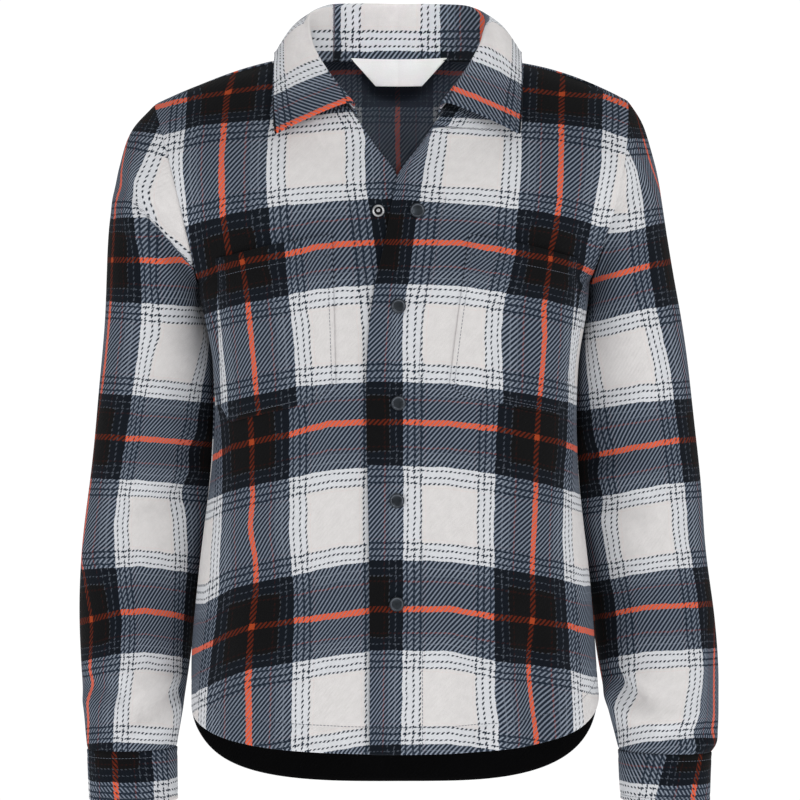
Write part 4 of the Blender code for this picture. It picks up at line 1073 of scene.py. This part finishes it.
def tube_map(points, side, lines, table, fold=None):
    """Cloth map of a sleeve: across and along by its seen warp and weft lines."""
    px, py = seen(points)
    half = points.shape[1] // 2
    u = level_map(closed(points), side, lines, slice(2, half + 1))
    w = weft_at(closed(px), closed(py), table)
    if fold:
        # Cloth hidden in the tuck, more of it towards the armhole
        (ax, ay), (bx, by), top, hidden = fold
        share = np.clip((px - ax) / (bx - ax), 0, 1)
        height = ay + (by - ay) * share
        above = smooth_step(1.0, -1.0, py - height) * np.clip((py - top) / (height - top), 0, 1)
        front = np.arange(points.shape[1]) < half
        w = w + closed(hidden * share * above * front)
    return u, w


def add_sleeve(side, name, table, warp, weft, marks, fold=None):
    """Sleeve from its rings, the seen lines of its yarns, and the creases of its front and back."""
    rows = np.linspace(0, 1, SLEEVE_GRID[1]) ** 1.08
    turns, share, base = tube_points(side, table, SLEEVE_GRID[0], rows)
    under = (0.5 + 0.5 * np.cos(2 * np.pi * turns)) ** 2
    clear = UNDERARM_CLEAR * under * (1 - smooth_step(0.0, 0.03, share))
    base[..., 0] += side * clear
    normals = grid_normals(base, True, -side)
    along = lengths(base, 0)
    facing = np.sin(2 * np.pi * turns)
    x, z, to_cuff = base[..., 0], base[..., 2], along[-1:] - along
    sides = zip(marks, (facing, -facing))
    off = sum(creases(x, z, table) * smooth_step(-0.1, 0.35, way) for table, way in sides)
    off += waves(base, 3.0 + side, 0.0012) * smooth_step(0.0, 0.06, along) * smooth_step(0.0, 0.03, to_cuff)
    off += seam(along) + seam(to_cuff, 0.0010)
    u, w = tube_map(base, side, warp, weft, fold)
    base = base + normals * off[..., None]
    piece, normals = add_cloth(name, base, u, w, WALL, -side, tube=True)
    keep(piece, name)


def add_cuff(side, name, table, orange):
    """Cuff from its rings and the seen line of its orange yarn. Gives its surface, for the snap."""
    turns, share, base = tube_points(side, table, CUFF_GRID[0], np.linspace(0, 1, CUFF_GRID[1]))
    normals = grid_normals(base, True, -side)
    along = lengths(base, 0)
    rows = list(zip((along, along[-1:] - along), CUFF_STITCHES))
    off = waves(base, 5.0, 0.0004) + sum(groove(distance, at) for distance, at in rows)
    base = base + normals * off[..., None]
    half = base.shape[1] // 2
    u = level_map(closed(base), side, ((0.0, orange),), slice(2, half + 1), steps=60)
    piece, normals = add_cloth(name, base, u, 0.0120 + closed(along), CUFF_WALL, -side, tube=True)
    for distance, at in rows:
        stitch_lines.append(grid_line(base + normals * CUFF_WALL / 2, normals, distance, at, 0))
    keep(piece, name)
    return Surface(turns[0], share[:, 0], base, normals)


# Collar


def add_collar():
    c, b = np.meshgrid(np.linspace(-1, 1, COLLAR_GRID[0]), np.linspace(0, 1, COLLAR_GRID[1]))
    base = collar_point(c, b)
    normals = grid_normals(base, False, 1)
    down, across = lengths(base, 0), lengths(base, 1)
    to_free, to_right = down[-1:] - down, across[:, -1:] - across
    folded = smooth_step(0.45, 0.60, b)
    off = groove(to_free, COLLAR_STITCH, 0.0006) + groove(np.minimum(across, to_right), COLLAR_STITCH, 0.0006)
    off = off * folded + waves(base, 4.0, 0.0006) * smooth_step(0.0, 0.3, b)
    # Across the leaf, from the middle of a white field at the centre back
    roll, leaf = int(0.5 * COLLAR_GRID[1]), int(0.75 * COLLAR_GRID[1])
    run = lengths(base[leaf][None], 1)[0]
    run = run - run[COLLAR_GRID[0] // 2]
    row = 1.5 * WARP_PERIOD
    left_end, right_end = row + 0.003, row + 0.017
    leaf_u = np.where(c < 0, run * (left_end / -run[0]), run * (right_end / run[-1]))
    base = base + normals * off[..., None]
    # Near its ends the leaf's yarns run along them
    for sign, end, total in ((-1, 0, left_end), (1, -1, right_end)):
        a, line = base[roll, end], unit(base[-1, end] - base[roll, end])
        inward = base[leaf, end - sign * 20] - a
        off_end = (base - a) @ unit(inward - line * np.dot(inward, line))
        near = smooth_step(0.095, 0.045, off_end) * smooth_step(0.36, 0.50, b) * (c * sign > 0)
        leaf_u = leaf_u * (1 - near) + sign * (total - off_end) * near
    # Inside, the yarns stand upright as seen; the left front end belongs to the next white field
    foot_u = (base[..., 0] + 0.0075) * 0.878 - 0.090 * smooth_step(-0.0672, -0.0690, base[..., 0])
    early = 0.24 * smooth_step(0.60, 0.78, np.abs(c))
    turn = smooth_step(0.40, 0.56, b + early)
    u = row + foot_u * (1 - turn) + leaf_u * turn
    w = (0.0345 + 0.80 * down) * (1 - turn) + (0.0375 + 0.103 * down / down[-1:]) * turn
    piece, normals = add_cloth("collar", base, u, w, COLLAR_WALL, 1, outer=flannel, inner=flannel)
    lifted = base + normals * COLLAR_WALL / 2
    part = b[:, 0] > LEAF_START
    for distance, axis in ((to_free, 0), (across, 1), (to_right, 1)):
        stitch_lines.append(grid_line(lifted[part], normals[part], distance[part], COLLAR_STITCH, axis))
    keep(piece, "collar")


# Pockets, label


def add_pocket(side, name, table, warp):
    p, q = np.meshgrid(np.linspace(0, 1, POCKET_GRID[0]), np.linspace(0, 1, POCKET_GRID[1]))
    top_x, top_z, low_x, low_z = [np.interp(p, table[:, 0], table[:, k]) for k in (1, 2, 3, 4)]
    s, v = front_on(side, top_x + (low_x - top_x) * q, top_z + (low_z - top_z) * q)
    flat, out = surfaces[side].at(s, v)
    from_in, from_out, from_top, from_low = edge_distances(flat)
    from_sides = np.minimum(from_in, from_out)
    near = np.minimum(from_sides, from_low)
    # Fuller in the middle, and a little open at the top
    open_top = (1 - smooth_step(0.0, POCKET_HEM, from_top)) * smooth_step(0.004, 0.04, from_sides)
    lift = WALL / 2 + POCKET_WALL / 2 + 0.0002 + 0.0009 * smooth_step(0.002, 0.016, near) + 0.0012 * open_top
    lift += groove(near, POCKET_STITCH, 0.0004) * smooth_step(0.002, 0.004, near)
    base = flat + out * lift[..., None]
    u = level_map(base, side, warp)
    w = weft_at(*seen(base), WEFT_LEFT if side == LEFT else WEFT_RIGHT)
    # Rows run down from the top, so the grid's hand is the other one
    piece, normals = add_cloth(name, base, u, w, POCKET_WALL, -side)
    lifted = base + normals * POCKET_WALL / 2
    for distance, at, axis in ((from_in, POCKET_STITCH, 1), (from_out, POCKET_STITCH, 1),
                               (from_low, POCKET_STITCH, 0), (from_top, POCKET_HEM, 0)):
        stitch_lines.append(grid_line(lifted, normals, distance, at, axis))
    keep(piece, name)


def add_label():
    p, q = np.meshgrid(np.linspace(0, 1, 60), np.linspace(0, 1, 24))
    corner = np.array(LABEL)
    top = corner[0] + (corner[1] - corner[0]) * p[..., None]
    low = corner[3] + (corner[2] - corner[3]) * p[..., None]
    flat = top + (low - top) * q[..., None]
    foot = collar_point(np.linspace(0.0, 0.5, 51), 0.0)
    ahead = COLLAR_WALL / 2 + LABEL_GAP + LABEL_WALL / 2
    depth = np.interp(np.abs(flat[..., 0]), foot[:, 0], foot[:, 1]) - ahead
    depth -= 0.0010 * np.sin(2.4 * p + 0.6) * ease(q * 1.4)
    flat = flat * LABEL_SCALE - (0.0, 0.0004)
    base = np.stack([flat[..., 0], depth, flat[..., 1]], -1)
    piece, _ = add_cloth("label", base, flat[..., 0], flat[..., 1], LABEL_WALL, -1, outer=tape, inner=tape)
    keep(piece, "label")


# Snaps and stitches


def add_turned(name, profile, place, direction, materials, other, segments=48):
    """Round metal piece, its profile of radius and height turned about the direction given.

    other is the range of radii, on the upper side, that has the second material.
    """
    profile = np.array(profile)
    turns = np.linspace(0, 2 * np.pi, segments, endpoint=False)
    ring = np.stack([np.cos(turns), np.sin(turns)], -1)
    verts = np.concatenate([np.insert(ring * r, 2, h, 1) for r, h in profile])
    count = len(profile)
    index = np.arange(count * segments).reshape(count, segments)
    right = np.roll(index, -1, 1)
    faces = np.stack([index[:-1], index[1:], right[1:], right[:-1]], -1).reshape(-1, 4)
    turn = Vector(direction).to_track_quat("Z", "Y").to_matrix()
    verts = verts @ np.array(turn).T + np.asarray(place)
    share = np.linspace(0.02, 0.98, count)
    k, j = np.meshgrid(np.arange(count - 1), np.arange(segments), indexing="ij")
    uv = np.stack([np.stack([(j + dj) / segments * 0.96 + 0.02, share[k + dk]], -1)
                   for dk, dj in ((0, 0), (1, 0), (1, 1), (0, 1))], 2).reshape(-1, 4, 2)
    radius, low = (profile[:-1, 0] + profile[1:, 0]) / 2, np.minimum(profile[:-1, 1], profile[1:, 1])
    second = (radius > other[0]) & (radius < other[1]) & (low > 0.0004)
    piece = add_mesh(name + "_metal", verts, faces, {"OFBake": uv}, second[k.ravel()].astype(int), materials)
    keep(piece, name)


def rounded(points, radius, steps=4):
    """Profile with its inner corners rounded."""
    points = [np.array(p, float) for p in points]
    result = [points[0]]
    for a, b, c in zip(points, points[1:], points[2:]):
        back, ahead = a - b, c - b
        size = min(radius, 0.45 * np.linalg.norm(back), 0.45 * np.linalg.norm(ahead))
        start, end = b + unit(back) * size, b + unit(ahead) * size
        for t in np.linspace(0, 1, steps):
            result.append((1 - t) ** 2 * start + 2 * t * (1 - t) * b + t * t * end)
    return result + [points[-1]]


def cap_profile(scale=1.0):
    """Cap with a rim round a shallow dish: radius and height from the middle of its top."""
    r, h = CAP_DIAMETER / 2 * scale, CAP_HEIGHT
    line = [(1e-5, h - 0.0011), (r * 0.30, h - 0.00105), (r * 0.60, h - 0.00085), (r * 0.72, h - 0.0006),
            (r * 0.78, h - 0.0001), (r * 0.86, h), (r * 0.95, h - 0.0003), (r, h - 0.0011), (r, 0.0009),
            (r * 0.94, 0.0), (1e-5, 0.0)]
    return rounded(line, 0.0004)


def stud_profile():
    """Stud with a round pin in a ringed base."""
    r, h = STUD_DIAMETER / 2, STUD_HEIGHT
    line = [(1e-5, h), (r * 0.20, h), (r * 0.32, h - 0.0004), (r * 0.34, h - 0.0012), (r * 0.30, 0.0010),
            (r * 0.58, 0.0007), (r * 0.66, 0.0018), (r * 0.80, 0.0021), (r * 0.94, 0.0017), (r, 0.0009),
            (r, 0.0), (1e-5, 0.0)]
    return rounded(line, 0.0003)


def along_line(line, step, at):
    return np.array([np.interp(at, step, line[:, k]) for k in range(3)])


def add_stitches(name, lines, pitch=0.0036, length=0.0027, radius=0.00025, sides=6):
    """Rows of short thread capsules lying on the cloth."""
    verts, faces, uvs = [], [], []
    turns = np.arange(sides) / sides * 2 * np.pi
    rings = ((-0.5, 0.35), (-0.36, 0.9), (0.0, 1.0), (0.36, 0.9), (0.5, 0.35))    # place along, thickness
    corners = ((0, 0), (0, 1), (1, 1), (1, 0))
    for line, out in lines:
        if len(line) < 3:
            continue
        step = np.concatenate([[0], np.cumsum(np.linalg.norm(np.diff(line, axis=0), axis=1))])
        for at in np.arange(pitch, step[-1] - pitch, pitch):
            mid, up = along_line(line, step, at), along_line(out, step, at)
            ahead = unit(along_line(line, step, at + 0.001) - mid)
            up = unit(up - ahead * np.dot(up, ahead))
            across = np.cross(up, ahead)
            start = len(verts)
            for where, size in rings:
                # The ends dip into the cloth
                centre = mid + ahead * where * length + up * radius * (0.55 - 1.92 * where ** 2)
                for a in turns:
                    way = across * math.cos(a) * 1.15 + up * math.sin(a) * 0.8
                    verts.append(centre + way * radius * size)
            for k in range(len(rings) - 1):
                for m in range(sides):
                    faces.append([start + (k + dk) * sides + (m + dm) % sides for dk, dm in corners])
                    uvs.append([(0.02 + 0.16 * (m + dm), 0.04 + 0.23 * (k + dk)) for dk, dm in corners])
    faces = np.array(faces)
    piece = add_mesh(name, np.array(verts), faces, {"OFBake": np.array(uvs)}, np.zeros(len(faces)), [thread])
    keep(piece, name, replaces=False)


add_front(LEFT, "front_left")
add_front(RIGHT, "front_right")
add_back()
add_sleeve(LEFT, "sleeve_left", LEFT_SLEEVE, WARP_SLEEVE_LEFT, WEFT_SLEEVE_LEFT,
           (LEFT_SLEEVE_CREASES, LEFT_SLEEVE_BACK_CREASES),
           fold=((127, 195), (193, 268), 138, 0.058))
add_sleeve(RIGHT, "sleeve_right", RIGHT_SLEEVE, WARP_SLEEVE_RIGHT, WEFT_SLEEVE_RIGHT,
           (RIGHT_SLEEVE_CREASES, RIGHT_SLEEVE_BACK_CREASES))
left_cuff = add_cuff(LEFT, "cuff_left", LEFT_CUFF, ((740, 114), (749, 114.5), (797, 117), (810, 117)))
right_cuff = add_cuff(RIGHT, "cuff_right", RIGHT_CUFF, ((740, 701), (751, 700.6), (797, 692), (810, 691)))
add_collar()
add_pocket(LEFT, "pocket_left", LEFT_POCKET, WARP_POCKET_LEFT)
add_pocket(RIGHT, "pocket_right", RIGHT_POCKET, WARP_POCKET_RIGHT)
add_label()
dark_metal = (gunmetal, gunmetal_rim_painted_highlight)
for snap, across, height in SNAPS:
    place, out = surfaces[RIGHT].at(*front_on(RIGHT, across, height), WALL / 2 + METAL_LIFT)
    add_turned(snap, cap_profile(), place, out, dark_metal, (0.0053, 0.0064))
place, out = surfaces[LEFT].at(*front_on(LEFT, *STUD_AT), WALL / 2 + METAL_LIFT)
add_turned("snap_stud", stud_profile(), place, out, (nickel, well), (0.0018, 0.0041))
for cuff, snap in ((left_cuff, "cuff_snap_left"), (right_cuff, "cuff_snap_right")):
    place, out = cuff.at(CUFF_SNAP_AT[1], CUFF_SNAP_AT[0], CUFF_WALL / 2 + METAL_LIFT)
    add_turned(snap, cap_profile(CUFF_SNAP_SCALE), place, out, dark_metal, (0.0046, 0.0055))
add_stitches("topstitching", stitch_lines)


# Studio


def glowing(name, roughness, strength):
    material, tree, shader = new_material(name, roughness)
    shader.inputs["Emission Color"].default_value = (1.0, 1.0, 1.0, 1.0)
    shader.inputs["Emission Strength"].default_value = strength
    return material, tree, shader


def add_stage():
    """Pale floor well under the jacket, and a plain white surround that only the camera sees."""
    turns = np.arange(FLOOR_SIDES) / FLOOR_SIDES * 2 * np.pi
    verts = [(FLOOR_RADIUS * math.cos(a), FLOOR_RADIUS * math.sin(a), FLOOR_HEIGHT) for a in turns]
    verts.append((0.0, 0.0, FLOOR_HEIGHT))
    faces = np.array([(k, (k + 1) % FLOOR_SIDES, FLOOR_SIDES) for k in range(FLOOR_SIDES)])
    uv = np.tile(np.array([[0, 0], [1, 0], [0.5, 1]], float), (FLOOR_SIDES, 1, 1))
    paper, tree, shader = glowing("paper_floor", 0.9, 0.75)
    cloud = shader_node(tree, "TexNoise", {0: shader_node(tree, "TexCoord", out=3), 2: 2.0})
    tree.links.new(mixed(tree, cloud, (0.86, 0.86, 0.86), (0.90, 0.90, 0.90)), shader.inputs["Base Color"])
    add_mesh("floor", verts, faces, {"OFBake": uv}, np.zeros(len(faces)), [paper])
    bpy.ops.mesh.primitive_uv_sphere_add(segments=48, ring_count=24, radius=SURROUND_RADIUS)
    surround = bpy.context.object
    surround.name = "surround"
    white, tree, shader = glowing("paper_surround", 1.0, 1.05)
    shader.inputs["Base Color"].default_value = (0.0, 0.0, 0.0, 1.0)
    shader.inputs["Specular IOR Level"].default_value = 0.0
    surround.data.materials.append(white)
    for ray in ("diffuse", "glossy", "transmission", "volume_scatter", "shadow"):
        setattr(surround, "visible_" + ray, False)


def add_light(name, place, size, power, target=(0.0, 0.0, -0.35), spread=180):
    """Round light that faces its target. Size in metres, power in watts, spread in degrees."""
    data = bpy.data.lights.new(name, "AREA")
    data.spread = math.radians(spread)
    data.shape, data.size, data.energy = "DISK", size, power
    light = bpy.data.objects.new(name, data)
    bpy.context.scene.collection.objects.link(light)
    light.location = place
    light.rotation_euler = (Vector(target) - Vector(place)).to_track_quat("-Z", "Y").to_euler()


add_stage()
add_light("key", (1.3, -2.5, 1.1), 1.2, 15)
add_light("fill", (-1.5, -2.3, 0.3), 1.8, 7)
add_light("neck", (0.0, -2.6, 0.9), 0.14, 0.06, (0.0, 0.06, 0.03), 7)
add_light("top", (0.0, 0.0, 2.0), 1.8, 9)
add_light("back", (-0.8, 2.6, 0.8), 1.8, 12)
add_light("side_left", (-2.5, -1.5, -0.4), 1.6, 12)
add_light("side_right", (2.5, -1.5, -0.4), 1.6, 12)
world = bpy.data.worlds.new("studio")
world.use_nodes = True
world.node_tree.nodes["Background"].inputs[0].default_value = (1.0, 1.0, 1.0, 1.0)
world.node_tree.nodes["Background"].inputs[1].default_value = 0.46
bpy.context.scene.world = world
bpy.context.scene.view_settings.view_transform = "Standard"

camera_data = bpy.data.cameras.new("camera")
camera_data.lens = 135
camera_data.sensor_width = 36
camera_data.clip_end = 30
camera = bpy.data.objects.new("camera", camera_data)
camera.location = CAMERA
camera.rotation_euler = (math.pi / 2, 0.0, 0.0)
bpy.context.scene.collection.objects.link(camera)
bpy.context.scene.camera = camera
